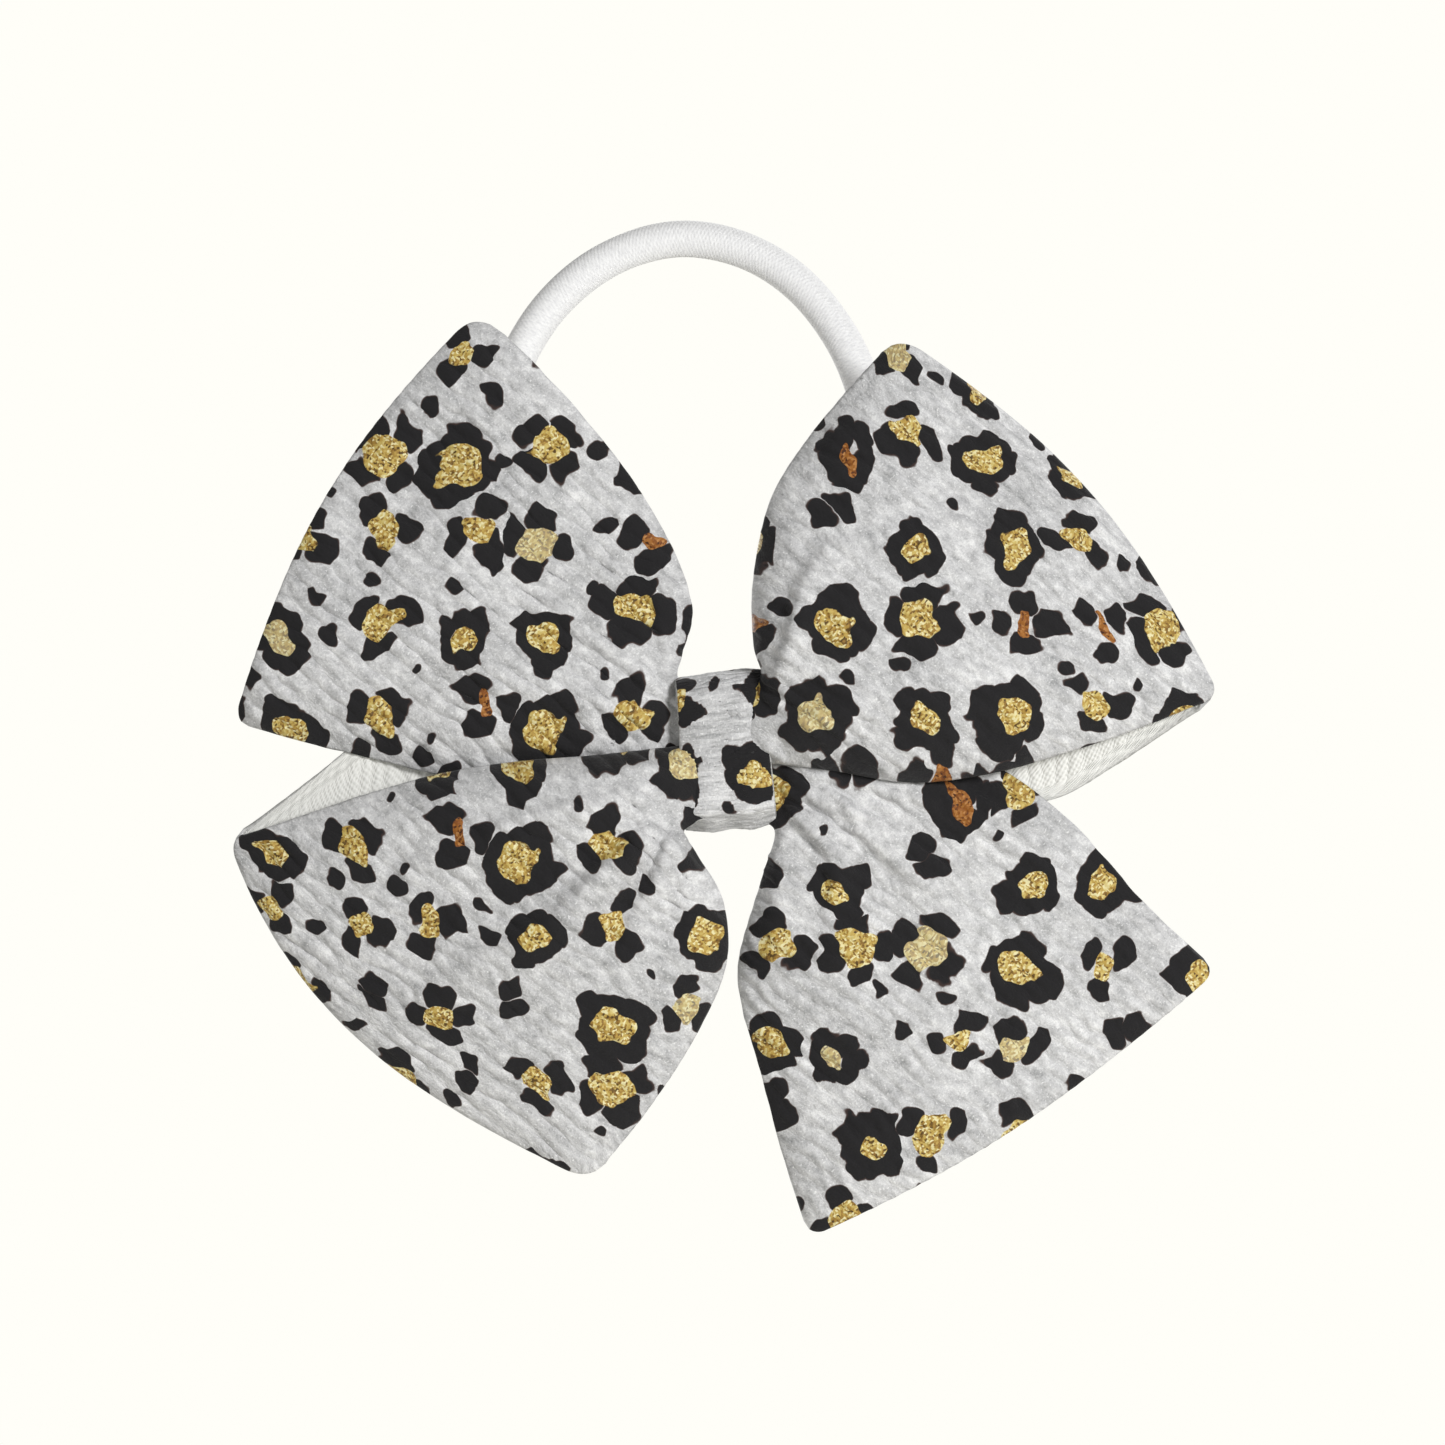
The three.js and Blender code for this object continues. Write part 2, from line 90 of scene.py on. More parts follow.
# Each lobe's long edges in (X, Z) from inside the knot outwards. The first point is under the wrap.
# A fold is a line in (X, Z), how far it stands forwards (below zero it sinks) and its half width.
LOBES = {
    "upper_left": {
        "high": [
            (-3, 10), (-7.9, 12.2), (-7.3, 16.4), (-5.6, 24),
            (-9.5, 34.9), (-17.3, 47.4), (-28, 60), (-40, 71.6),
        ],
        "low": [
            (-3, -1.5), (-9, -2), (-22, -2.4), (-37, -3.2),
            (-46, -3), (-56, -0.6), (-67, 2), (-79.3, 5.6),
        ],
        "bow": 5.7,
        "bow_peak": 0.95,
        "corners": (4.2, 2.6),
        "print_at": (3.0, -4.0),
        "folds": [
            ([(-9, 5), (-20, 8), (-33, 11), (-52, 18)], 1.3, 2.6),
            ([(-9, 9), (-16, 15), (-26, 23), (-36, 32)], 1.1, 2.2),
            ([(-8.6, 11), (-10, 20), (-12, 30), (-17, 41)], 1.1, 1.8),
            ([(-9, 1), (-24, 1), (-42, 1.5)], 0.8, 1.4),
            ([(-24, 42), (-40, 40), (-56, 32)], 1.0, 3.4),
            ([(-42, 56), (-54, 44), (-64, 30)], -0.7, 3.0),
        ],
    },
    "upper_right": {
        "high": [
            (2.5, 10.5), (6.2, 12.8), (5.0, 18), (4.9, 28),
            (7.5, 40.6), (13, 50), (20.3, 59), (28.1, 67.4),
        ],
        "low": [
            (2.5, -1), (7.5, -1), (17.5, -2.2), (30.3, -4.1),
            (42.8, -2.7), (54.6, 0.5), (66, 4.2), (79.6, 9.6),
        ],
        "high_behind": [
            (2.5, 10), (6.6, 12.4), (5.6, 18), (6.0, 28),
            (9, 40), (14, 49.5), (20.8, 58.6), (28.1, 67.4),
        ],
        "low_behind": [
            (2.5, -1.5), (8, -1.7), (18, -3), (30, -5.2),
            (42, -7.6), (53, -7.2), (63, -1.8), (79.6, 9.6),
        ],
        "bow": 6.1,
        "bow_peak": 1.0,
        "corners": (4.2, 2.6),
        "print_at": (-14.0, 9.0),
        "folds": [
            (
                [(7.5, 10), (10.5, 18), (12.5, 25.7), (15, 30.2), (19.1, 33.2), (25.1, 34.2), (33.7, 33.4)],
                2.0,
                2.2,
            ),
            ([(8.5, 4), (18, 7), (30, 11), (44, 16)], 1.2, 2.6),
            ([(12, 11), (17.5, 14.1), (23.6, 16.1)], -0.6, 1.1),
            ([(26, 38.4), (34, 40.6), (46.3, 43.8)], -0.9, 1.2),
            ([(16, 50), (19, 51.9), (26.1, 54.4), (36, 56.4)], 1.0, 1.6),
            ([(13.5, 45), (20, 46), (30, 47)], 0.8, 1.6),
            ([(20, 60), (24, 61.6), (31, 63)], 0.9, 1.3),
            ([(58, 12), (62, 24), (58, 36)], 0.9, 3.0),
        ],
    },
    "lower_left": {
        "high": [
            (-2.5, 1.5), (-7.5, 1), (-21.3, -0.5), (-32.9, -1.4),
            (-45, -3.2), (-57, -6.4), (-69.2, -10.4), (-79.6, -13.8),
        ],
        "high_behind": [
            (-2.5, 1.5), (-8, 1.5), (-20, 2), (-34, 3.4),
            (-46, 5), (-57, 3.4), (-67, -4), (-79.6, -13.8),
        ],
        "low": [
            (-3, -10), (-7, -12.2), (-4.8, -16.4), (-0.6, -24),
            (-0.3, -34.5), (-6, -47), (-14, -59), (-22, -68.6),
        ],
        "low_behind": [
            (-3, -9.8), (-7.2, -12), (-5.8, -17), (-2, -25),
            (-1.8, -35), (-7, -47), (-14.6, -59), (-22, -68.6),
        ],
        "bow": 9.0,
        "bow_peak": 0.85,
        "corners": (2.4, 4.0),
        "print_at": (7.0, 17.0),
        "folds": [
            ([(-8.4, -12.5), (-10.4, -18.5), (-14, -26.2), (-18.5, -35)], 2.2, 1.7),
            ([(-11, -11), (-18.8, -18.5), (-25.5, -25), (-33.5, -30), (-42, -36), (-52, -43)], 3.0, 3.0),
            ([(-11, -5), (-28, -9.5), (-42, -14.5), (-53, -21), (-64, -28)], 1.7, 2.8),
            ([(-9, -1.5), (-22, -3.5), (-36, -5.5)], 0.8, 1.3),
            ([(-8, -13), (-6, -22), (-6, -34)], 1.0, 1.7),
            ([(-30, -45), (-40, -50), (-47, -53)], 0.8, 2.6),
        ],
    },
    "lower_right": {
        "high": [
            (2.5, 1.2), (9, 1.2), (22, 1.6), (36, 0.6),
            (46, -3.4), (57.1, -12.2), (68, -24.4), (79.4, -35.2),
        ],
        "low": [
            (3, -9.8), (8.4, -12.0), (6.4, -20), (2.6, -33),
            (3.1, -41), (5.8, -50.5), (9.4, -64), (14, -78),
        ],
        "bow": 3.2,
        "bow_peak": 1.0,
        "corners": (2.6, 2.6),
        "print_at": (-4.0, -6.0),
        "folds": [
            ([(9.5, -8), (15.5, -13.5), (18, -19), (17.4, -26), (16.5, -37)], 2.1, 1.7),
            ([(9.5, -5), (19, -9), (28.6, -18), (33, -24), (39, -34)], 2.1, 2.2),
            ([(9.5, -2.5), (24, -5), (38, -9.5), (50, -17), (60, -27)], 1.5, 2.3),
            ([(8.5, -7.9), (12.5, -8.9), (21, -11)], -1.0, 0.9),
            ([(8.6, -12), (8.4, -22), (7.4, -36)], 1.2, 1.7),
            ([(34, -40), (33, -50), (27, -62)], 0.8, 3.4),
        ],
    },
}

# A fold rises over the first share of its line. Its left side falls off steeper than its right.
FOLD_RISE, FOLD_STEEP, FOLD_GENTLE = 0.22, 0.75, 1.7
CORD_ANGLE = math.radians(52)
# In millimetres: how far a tail swells forwards and its free end twists, and how far its long edges and
# its cut end roll back.
TAIL_SWELL, TAIL_TWIST, TAIL_EDGE_ROLL, TAIL_END_ROLL = 3, 1.5, 2.2, 1.8
# Half the way between a loop's two layers at the knot, and how far the long edges of each roll in.
LAYERS_APART, FRONT_EDGE_ROLL, BACK_EDGE_ROLL = 3.5, 3.8, 0.4

# The wrap's band in millimetres: the radius of its corners, how far its back is narrower than its front
# at each end, the room that its lap takes, and how high the crease runs above its lower edge.
WRAP_CORNER, WRAP_TAPER, WRAP_LAP, WRAP_CREASE = 4.4, 3.0, 1.9, 3.1
WRINKLE_PITCH = 0.8
# How far the print is moved along and across the wrap, in millimetres.
WRAP_PRINT_AT = (-73.0, -62.9)

# The elastic's middle line as (X, distance up its leaning plane), from the knot round to the knot.
ELASTIC_ROUTE = [
    (-7.5, 0), (-10, 0), (-15, 2.2), (-21, 8.5), (-27.5, 20), (-33.5, 34), (-37, 47), (-37.3, 57),
    (-34.1, 66.5), (-27.9, 76.2), (-19.1, 83.3), (-10.4, 86.3), (-4, 86.6), (6.3, 83.3), (12.9, 78.4),
    (17.2, 73), (20.3, 68.1), (22.1, 63.6), (24.3, 56), (25.4, 45), (24.6, 32), (21.6, 18), (17, 7.8),
    (13, 2.2), (10, 0), (7.5, 0),
]
ELASTIC_LEAN = math.radians(10)
RUBBER_RADIUS = 1.6  # millimetres


def smooth_line(points, t):
    """Points on the Catmull-Rom curve through the given points, for every share t of it."""
    p = np.asarray(points, float)
    n = len(p) - 1
    at = np.clip(np.asarray(t, float), 0, 1) * n
    i = np.minimum(at.astype(int), n - 1)
    f = (at - i)[..., None]
    before, here, there, after = (p[np.clip(i + k, 0, n)] for k in (-1, 0, 1, 2))
    v0, v1 = (there - before) / 2, (after - here) / 2
    return (
        (2 * here - 2 * there + v0 + v1) * f**3
        + (-3 * here + 3 * there - 2 * v0 - v1) * f**2
        + v0 * f
        + here
    )


def waves(x, z, length, seed, count=7):
    """Smooth irregular ups and downs of about the given length in millimetres, from -1 to 1."""
    draw = np.random.default_rng(seed)
    total = np.zeros_like(x)
    for _ in range(count):
        angle, phase = draw.uniform(0, 2 * math.pi, 2)
        pace = 2 * math.pi / length * draw.uniform(0.6, 1.6)
        total += np.sin(pace * (x * math.cos(angle) + z * math.sin(angle)) + phase)
    return total / math.sqrt(count)


# ---------------------------------------------------------------- meshes


def make_object(name, mesh, materials):
    """An object in the scene with the mesh and its materials."""
    obj = bpy.data.objects.new(name, mesh)
    bpy.context.scene.collection.objects.link(obj)
    for material in materials:
        mesh.materials.append(material)
    return obj


def store_cloth_place(mesh, places):
    """Keeps each point's place on the flat cloth, in millimetres, for the print and the knit."""
    layer = mesh.attributes.new("cloth_mm", "FLOAT_VECTOR", "POINT")
    layer.data.foreach_set("vector", places.astype(np.float32).ravel())


def grid_normals(grid):
    """The unit normal at each point of a grid."""
    along = np.gradient(grid, axis=0)
    across = np.gradient(grid, axis=1)
    normal = np.cross(across, along)
    return normal / np.maximum(np.linalg.norm(normal, axis=2, keepdims=True), 1e-12)


def facing_forwards(grid, places):
    """Turns the columns round where needed, so that the first layer's right side faces -Y."""
    if grid_normals(grid)[len(grid) // 4, :, 1].mean() > 0:
        return grid[:, ::-1], places[:, ::-1]
    return grid, places


def border(rows, cols):
    """The grid's rim in order, as (row, column) pairs."""
    top = [(0, j) for j in range(cols)]
    right = [(i, cols - 1) for i in range(1, rows)]
    bottom = [(rows - 1, j) for j in range(cols - 2, -1, -1)]
    left = [(i, 0) for i in range(rows - 2, 0, -1)]
    return top + right + bottom + left


def cloth_mesh(name, grid, places, thick):
    """A closed sheet round a grid of points in millimetres: faces 0 are the right side, which the
    grid's normals leave, faces 1 the wrong side, and faces 2 the cut edge, rounded over."""
    rows, cols = grid.shape[:2]
    normal = grid_normals(grid)
    right, wrong = grid + normal * thick / 2, grid - normal * thick / 2
    rim = border(rows, cols)
    inner = [(min(max(i, 1), rows - 2), min(max(j, 1), cols - 2)) for i, j in rim]
    edge = np.array([grid[i, j] for i, j in rim])
    out = edge - np.array([grid[i, j] for i, j in inner])
    out /= np.maximum(np.linalg.norm(out, axis=1, keepdims=True), 1e-9)
    lip = edge + out * thick * 0.35
    points = np.concatenate([right.reshape(-1, 3), wrong.reshape(-1, 3), lip]) * MM
    flat = places.reshape(-1, 3)
    rim_places = np.array([places[i, j] for i, j in rim])
    size = rows * cols
    index = np.arange(size).reshape(rows, cols)
    a, b = index[:-1, :-1].ravel(), index[1:, :-1].ravel()
    c, d = index[1:, 1:].ravel(), index[:-1, 1:].ravel()
    front = np.stack([a, d, c, b], 1)
    back = np.stack([a, b, c, d], 1) + size
    ring = np.array([index[i, j] for i, j in rim])
    lip_ids = 2 * size + np.arange(len(rim))
    after = np.roll(np.arange(len(rim)), -1)
    upper = np.stack([ring[after], ring, lip_ids, lip_ids[after]], 1)
    lower = np.stack([lip_ids[after], lip_ids, ring + size, ring[after] + size], 1)
    faces = np.concatenate([front, back, upper, lower])
    kind = np.repeat([0, 1, 2, 2], [len(front), len(back), len(upper), len(lower)])
    mesh = bpy.data.meshes.new(name)
    mesh.from_pydata(points.tolist(), [], faces.tolist())
    mesh.polygons.foreach_set("material_index", kind.astype(np.int32))
    mesh.polygons.foreach_set("use_smooth", np.ones(len(faces), bool))
    store_cloth_place(mesh, np.concatenate([flat, flat, rim_places]))
    mesh.validate()
    mesh.update()
    return mesh


def outward_normals(mesh):
    """Turns a closed mesh's faces out if its volume comes out negative."""
    mesh.update()
    mesh.calc_loop_triangles()
    count = len(mesh.loop_triangles)
    corners = np.empty(count * 3, np.int32)
    mesh.loop_triangles.foreach_get("vertices", corners)
    points = np.empty(len(mesh.vertices) * 3)
    mesh.vertices.foreach_get("co", points)
    a, b, c = points.reshape(-1, 3)[corners.reshape(-1, 3)].transpose(1, 0, 2)
    if np.einsum("ij,ij->i", a, np.cross(b, c)).sum() < 0:
        mesh.flip_normals()
    return mesh


def ring_mesh(name, rings, ends, places):
    """A closed mesh through rings of points in millimetres, with a fan of faces on each end."""
    count, sides = rings.shape[:2]
    size = count * sides
    index = np.arange(size).reshape(count, sides)
    after = np.roll(index, -1, 1)
    walls = np.stack([index[:-1], after[:-1], after[1:], index[1:]], -1).reshape(-1, 4)
    caps = [(size, after[0, k], index[0, k]) for k in range(sides)]
    caps += [(size + 1, index[-1, k], after[-1, k]) for k in range(sides)]
    points = np.concatenate([rings.reshape(-1, 3), ends]) * MM
    mesh = bpy.data.meshes.new(name)
    mesh.from_pydata(points.tolist(), [], walls.tolist() + caps)
    mesh.polygons.foreach_set("use_smooth", np.ones(len(mesh.polygons), bool))
    store_cloth_place(mesh, np.concatenate([places, np.zeros((2, 3))]))
    return outward_normals(mesh)


def leaned(x, y, z, tilt):
    """Points turned in the front view by the knot's tilt."""
    return np.stack(
        [x * math.cos(tilt) + z * math.sin(tilt), y, -x * math.sin(tilt) + z * math.cos(tilt)], -1
    )


# ---------------------------------------------------------------- the lobes' shape


class LobeShape:
    """One lobe's surface in millimetres, for shares s from the knot out and v from high edge to low."""

    def __init__(self, outline, sizes, behind=False):
        self.high = outline.get("high_behind" if behind else "high", outline["high"])
        self.low = outline.get("low_behind" if behind else "low", outline["low"])
        self.outline = outline
        self.sizes = sizes
        ends = np.array([self.high[-1], self.low[-1]], float)
        chord = ends[1] - ends[0]
        self.out = np.array([chord[1], -chord[0]]) / np.linalg.norm(chord)
        if self.out @ ends.mean(0) < 0:
            self.out = -self.out

    def reach(self, v):
        """How far out each line runs: the two outer corners are rounded off."""
        width, length = 76.0, 74.0  # of a lobe, in millimetres
        short = np.zeros_like(v)
        for share, radius in zip((v, 1 - v), self.outline["corners"], strict=True):
            near = np.clip(1 - share * width / radius, 0, 1)
            short += radius * (1 - np.sqrt(1 - near**2)) / length
        return 1 - short

    def flat(self, s, v):
        """The lobe seen from the front, in (X, Z)."""
        s = s * self.reach(v)
        high, low = smooth_line(self.high, s), smooth_line(self.low, s)
        swell = self.outline["bow"] * np.sin(math.pi * v ** self.outline["bow_peak"]) * s**2
        return high + (low - high) * v[..., None] + swell[..., None] * self.out

    def folds(self, flat):
        """How far forwards the cloth's folds stand. They start at the wrap and die away."""
        total = np.zeros(flat.shape[:2])
        t = np.linspace(0, 1, 30)
        for line, height, width in self.outline["folds"]:
            path = smooth_line(line, t)
            nearest = np.linalg.norm(flat[:, :, None] - path, axis=3).argmin(2)
            run = np.gradient(path, t, axis=0)
            length = np.linalg.norm(run, axis=1)
            left = np.stack([-run[:, 1], run[:, 0]], 1) * np.sign(run[:, 1:]) / length[:, None]
            apart = flat - path[nearest]
            aside = np.einsum("ijk,ijk->ij", apart, left[nearest])
            onward = np.einsum("ijk,ijk->ij", apart, run[nearest]) / length[nearest] ** 2
            along = np.clip(t[nearest] + onward, 0, 1)
            fade = np.sin(math.pi / 2 * np.clip(along / FOLD_RISE, 0, 1)) * (1 - along**1.8)
            spread = width * (0.6 + 0.7 * along) * np.where(aside > 0, FOLD_STEEP, FOLD_GENTLE)
            total += self.sizes.fold_depth * height * fade * np.exp(-((aside / spread) ** 2))
        return total

    def relief(self, flat, seed):
        """The knit's raised diagonal cords, and slower waviness of the whole cloth."""
        x, z = flat[..., 0], flat[..., 1]
        cord = self.sizes.cord_pitch / MM
        across = x * math.cos(CORD_ANGLE) + z * math.sin(CORD_ANGLE)
        along = -x * math.sin(CORD_ANGLE) + z * math.cos(CORD_ANGLE)
        phase = 2 * math.pi * across / cord + 1.5 * waves(x, z, 18, seed) + 0.55 * waves(x, z, 7, seed + 1)
        strength = 0.75 + 0.35 * waves(x, z, 10, seed + 2) + 0.15 * np.sin(2 * math.pi * along / 8 + phase)
        crest = np.sin(phase) - 0.2 * np.cos(2 * phase)
        fine = self.sizes.cord_height / MM * crest * np.clip(strength, 0.15, 1.3)
        fine += 0.025 * waves(x, z, 1.9, seed + 5, count=9)
        slow = 0.40 * waves(x, z, 32, seed + 3) + 0.17 * waves(x, z, 11, seed + 4)
        return fine, slow


def outside_wrap(s):
    """0 under the wrap and 1 from a little way out, for a share s of the way from the knot."""
    return np.clip((s - 0.06) / 0.1, 0, 1)


def near_edges(v, share):
    """1 on a lobe's two long edges, and dying away inwards over the given share of its width."""
    return np.exp(-v / share) + np.exp(-(1 - v) / share)


def tail_grid(outline, sizes, seed, steps):
    """A tail: one layer, swelling forwards a little, its free end waving."""
    shape = LobeShape(outline, sizes)
    s, v = np.meshgrid(np.linspace(0, 1, steps[0]), np.linspace(0, 1, steps[1]), indexing="ij")
    flat = shape.flat(s, v)
    fine, slow = shape.relief(flat, seed)
    swell = TAIL_SWELL * np.sin(math.pi * s) * np.sin(math.pi * v)
    twist = TAIL_TWIST * s * np.sin(2 * math.pi * v)
    roll = TAIL_EDGE_ROLL * np.sqrt(s) * near_edges(v, 0.05) + TAIL_END_ROLL * np.exp(-(1 - s) / 0.045)
    quiet = outside_wrap(s)
    depth = sizes.core_depth - swell + twist + roll * quiet - shape.folds(flat) + slow * quiet
    grid = np.stack([flat[..., 0], depth, flat[..., 1]], -1)
    rim = np.clip(np.minimum(np.minimum(v, 1 - v), 1 - s) / 0.03, 0, 1)
    grid += grid_normals(grid) * (fine * quiet * rim)[..., None]
    return grid, flat


def loop_grid(outline, sizes, seed, steps):
    """A loop: the front layer runs out from the knot, turns over at the fold and comes back behind."""
    front, behind = LobeShape(outline, sizes), LobeShape(outline, sizes, behind=True)
    turn = np.linspace(0, math.pi, steps[0])
    turn = turn - 0.22 * np.sin(2 * turn)
    turn, v = np.meshgrid(turn, np.linspace(0, 1, steps[1]), indexing="ij")
    out = np.abs(np.sin(turn)) ** 0.8
    closing = np.sign(np.cos(turn)) * np.abs(np.cos(turn)) ** 0.8
    ahead = closing >= 0
    flat = np.where(ahead[..., None], front.flat(out, v), behind.flat(out, v))
    # behind, the cloth's own places run on past the fold
    beyond = (front.flat(np.ones_like(v), v) - flat) @ front.out
    own = flat + np.where(ahead, 0, 2 * beyond)[..., None] * front.out
    fine, slow = front.relief(own, seed)
    puff = np.where(ahead, sizes.front_puff / MM, sizes.back_puff / MM)
    swell = puff * np.sin(math.pi * out) * (0.55 + 0.45 * np.sin(math.pi * v))
    roll = np.where(ahead, FRONT_EDGE_ROLL, BACK_EDGE_ROLL) * near_edges(v, 0.055)
    roll *= np.sin(math.pi * np.clip(out, 0, 1)) ** 0.6
    side = np.where(ahead, -1.0, 1.0)
    quiet = outside_wrap(out)
    open_part = quiet * (1 - out**8)
    depth = sizes.core_depth + LAYERS_APART * side * np.abs(closing) + side * (swell - roll * quiet)
    depth -= np.where(ahead, 1.0, -0.1) * front.folds(flat) * (1 - out**6)
    depth += np.where(ahead, 1.0, 0.25) * slow * open_part
    grid = np.stack([flat[..., 0], depth, flat[..., 1]], -1)
    rim = np.clip(np.minimum(v, 1 - v) / 0.03, 0, 1) * np.clip((1 - out) / 0.03, 0.1, 1)
    grid += grid_normals(grid) * (fine * np.where(ahead, 1, 0.6) * quiet * rim)[..., None]
    # the swell takes up cloth, which lets the print out towards the fold
    extra = np.linalg.norm(np.diff(grid, axis=0), axis=2) - np.linalg.norm(np.diff(flat, axis=0), axis=2)
    extra = np.concatenate([np.zeros((1, extra.shape[1])), np.cumsum(np.maximum(extra, 0), axis=0)])
    late = np.where(ahead, np.clip((out - 0.75) / 0.25, 0, 1) ** 2, 1)
    return grid, own + (extra * late)[..., None] * front.out


def softened(line, reach, rounds=2):
    """A line with its corners rounded by averaging over neighbours; its ends stay."""
    for _ in range(rounds):
        padded = np.concatenate([np.repeat(line[:1], reach, 0), line, np.repeat(line[-1:], reach, 0)])
        sums = np.cumsum(np.concatenate([np.zeros((1, line.shape[1])), padded]), axis=0)
        middle = (sums[2 * reach + 1 :] - sums[: -2 * reach - 1]) / (2 * reach + 1)
        line = np.concatenate([line[:1], middle[1:-1], line[-1:]])
    return line


def arc(centre, radius, start, end, steps=18):
    """Points of an arc in (Z, Y), its angles in quarter turns."""
    angle = np.linspace(start, end, steps) * math.pi / 2
    return np.stack([centre[0] + radius * np.cos(angle), centre[1] + radius * np.sin(angle)], 1)


def wrap_line(sizes, count):
    """The band's middle line in (Z, Y): from under its own end down, round the front and back over
    itself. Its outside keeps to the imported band's box."""
    low_corner, high_corner = (np.array(corner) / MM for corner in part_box("centre_wrap"))
    half_wide, tilt = sizes.wrap_width / MM / 2, abs(sizes.wrap_tilt)
    half = (high_corner[2] - low_corner[2]) / 2
    half = (half - half_wide * math.sin(tilt)) / math.cos(tilt) - sizes.cloth_thick / MM / 2
    middle = (high_corner[2] + low_corner[2]) / 2
    corner = WRAP_CORNER
    low, high = middle - half + corner, middle + half - corner
    back_low, back_high = low + WRAP_TAPER, high - WRAP_TAPER
    outer = high_corner[1] - sizes.cloth_thick / MM / 2
    inner = outer - WRAP_LAP
    face = low_corner[1] + sizes.cloth_thick / MM / 2
    front = face + corner
    slope = math.atan(WRAP_TAPER / (inner - corner - front)) / (math.pi / 2)
    lap_radius = outer - (inner - corner)
    # the band creases just above its lower edge, and slants back under from there
    crease = (low - corner + WRAP_CREASE, face)
    under = arc((low, front), corner, 2 - slope, 2 - slope, 1)[0]
    line = np.concatenate(
        [
            [(middle + 2, inner), (back_low, inner)],
            arc((back_low, inner - corner), corner, 1, 2 - slope),
            [under, (under + crease) / 2, crease, (low + 1.5, face)],
            arc((high, front), corner, 3, 4 + slope),
            arc((back_high, outer - corner), corner, slope, 1),
            [(back_high, outer), (back_low, outer)],
            arc((back_low, inner - corner), lap_radius, 1, 1.33),
        ]
    )
    run = np.concatenate([[0], np.cumsum(np.linalg.norm(np.diff(line, axis=0), axis=1))])
    at = np.linspace(0, run[-1], count)
    even = np.stack([np.interp(at, run, line[:, k]) for k in (0, 1)], 1)
    return softened(even, count // 220), at


def wrap_grid(sizes, seed, steps):
    """The wrap as a grid: along its line, and across its width. Pulled tight, it wrinkles finely
    across its pull and its edges dip."""
    line, at = wrap_line(sizes, steps[0])
    across = np.linspace(-1, 1, steps[1])
    half_wide = sizes.wrap_width / MM / 2
    tangent = np.gradient(line, axis=0)
    tangent /= np.linalg.norm(tangent, axis=1, keepdims=True)
    out = np.stack([tangent[:, 1], -tangent[:, 0]], 1)
    if (out[len(out) // 3] @ (line[len(out) // 3] - line.mean(0))) < 0:
        out = -out
    s, x = np.meshgrid(at, across * half_wide, indexing="ij")
    phase = 2 * math.pi * s / WRINKLE_PITCH + 1.6 * waves(x, s, 5, seed) + 1.2 * waves(x, s, 2.2, seed + 1)
    patchy = np.clip(0.5 + 0.6 * waves(x, s, 4.5, seed + 2) + 0.25 * waves(x, s, 1.5, seed + 3), 0, 1.3)
    dip = 0.55 * (np.abs(x) / half_wide) ** 4
    wrinkle = 1 - 2 * np.abs(np.sin(phase / 2)) ** 0.8
    lift = -0.15 * patchy * wrinkle + 0.12 * waves(x, s, 9, seed + 4) - dip - 0.1
    z = line[:, :1] + lift * out[:, :1]
    y = line[:, 1:] + lift * out[:, 1:]
    pull = 1 - 0.03 * np.cos(2 * math.pi * s / 52)
    x = x * pull
    z = z + np.where(z > 0, 0.05, 0.0) * x
    return leaned(x, y, z, sizes.wrap_tilt), np.stack([x, -s], -1), out


def tube(name, path, lean, radius, sides, swell):
    """A closed round tube about a path in millimetres that lies in a leaning plane."""
    along = np.gradient(path, axis=0)
    run = np.concatenate([[0], np.cumsum(np.linalg.norm(np.diff(path, axis=0), axis=1))])
    along /= np.linalg.norm(along, axis=1, keepdims=True)
    normal = np.array([0, math.cos(lean), -math.sin(lean)])
    side = np.cross(along, normal)
    angle = np.linspace(0, 2 * math.pi, sides, endpoint=False)
    length_at, angle_at = np.meshgrid(run, angle, indexing="ij")
    reach = radius * (1 + swell * waves(length_at, 4 * np.cos(angle_at), 17, 5))
    rings = path[:, None] + reach[..., None] * (
        np.cos(angle)[:, None] * side[:, None] + np.sin(angle)[:, None] * normal
    )
    count = len(path)
    places = np.stack([np.repeat(run, sides), np.tile(angle * radius, count), np.zeros(count * sides)], 1)
    return ring_mesh(name, rings, path[[0, -1]], places)


def with_print_shift(flat, shift):
    """The cloth's places with the print moved by (X, Z) millimetres."""
    x, z = shift
    return np.stack([flat[..., 0] + x, flat[..., 1] + z, np.zeros(flat.shape[:2])], -1)


# ---------------------------------------------------------------- materials


def new_material(name):
    """A material and its empty node tree."""
    material = bpy.data.materials.new(name)
    material.use_nodes = True
    material.node_tree.nodes.clear()
    return material, material.node_tree


def add(tree, kind, inputs=None, stops=(), **settings):
    """Adds a node, gives it its settings, and links or sets its inputs. A node given as an input
    lends its first output. A colour ramp has its stops as (place, hex colour)."""
    made = tree.nodes.new("ShaderNode" + kind)
    for name, value in settings.items():
        setattr(made, name, value)
    if stops:
        points = made.color_ramp.elements
        for _ in range(len(stops) - len(points)):
            points.new(0.5)
        for point, (place, code) in zip(points, stops, strict=True):
            point.position = place
            point.color = rgba(from_hex(code))
    for key, value in (inputs or {}).items():
        if isinstance(value, bpy.types.Node):
            value = value.outputs[0]
        if isinstance(value, bpy.types.NodeSocket):
            tree.links.new(value, made.inputs[key])
        else:
            made.inputs[key].default_value = value
    return made


# The print, in millimetres: how far apart rosettes and small spots stand, how far a small spot's middle
# keeps from a rosette's, and a depth inside an edge that never shows.
ROSETTE_PITCH, SPECK_PITCH, SPECK_CLEARANCE, NOWHERE = 14.0, 9.5, 7.0, -9.0
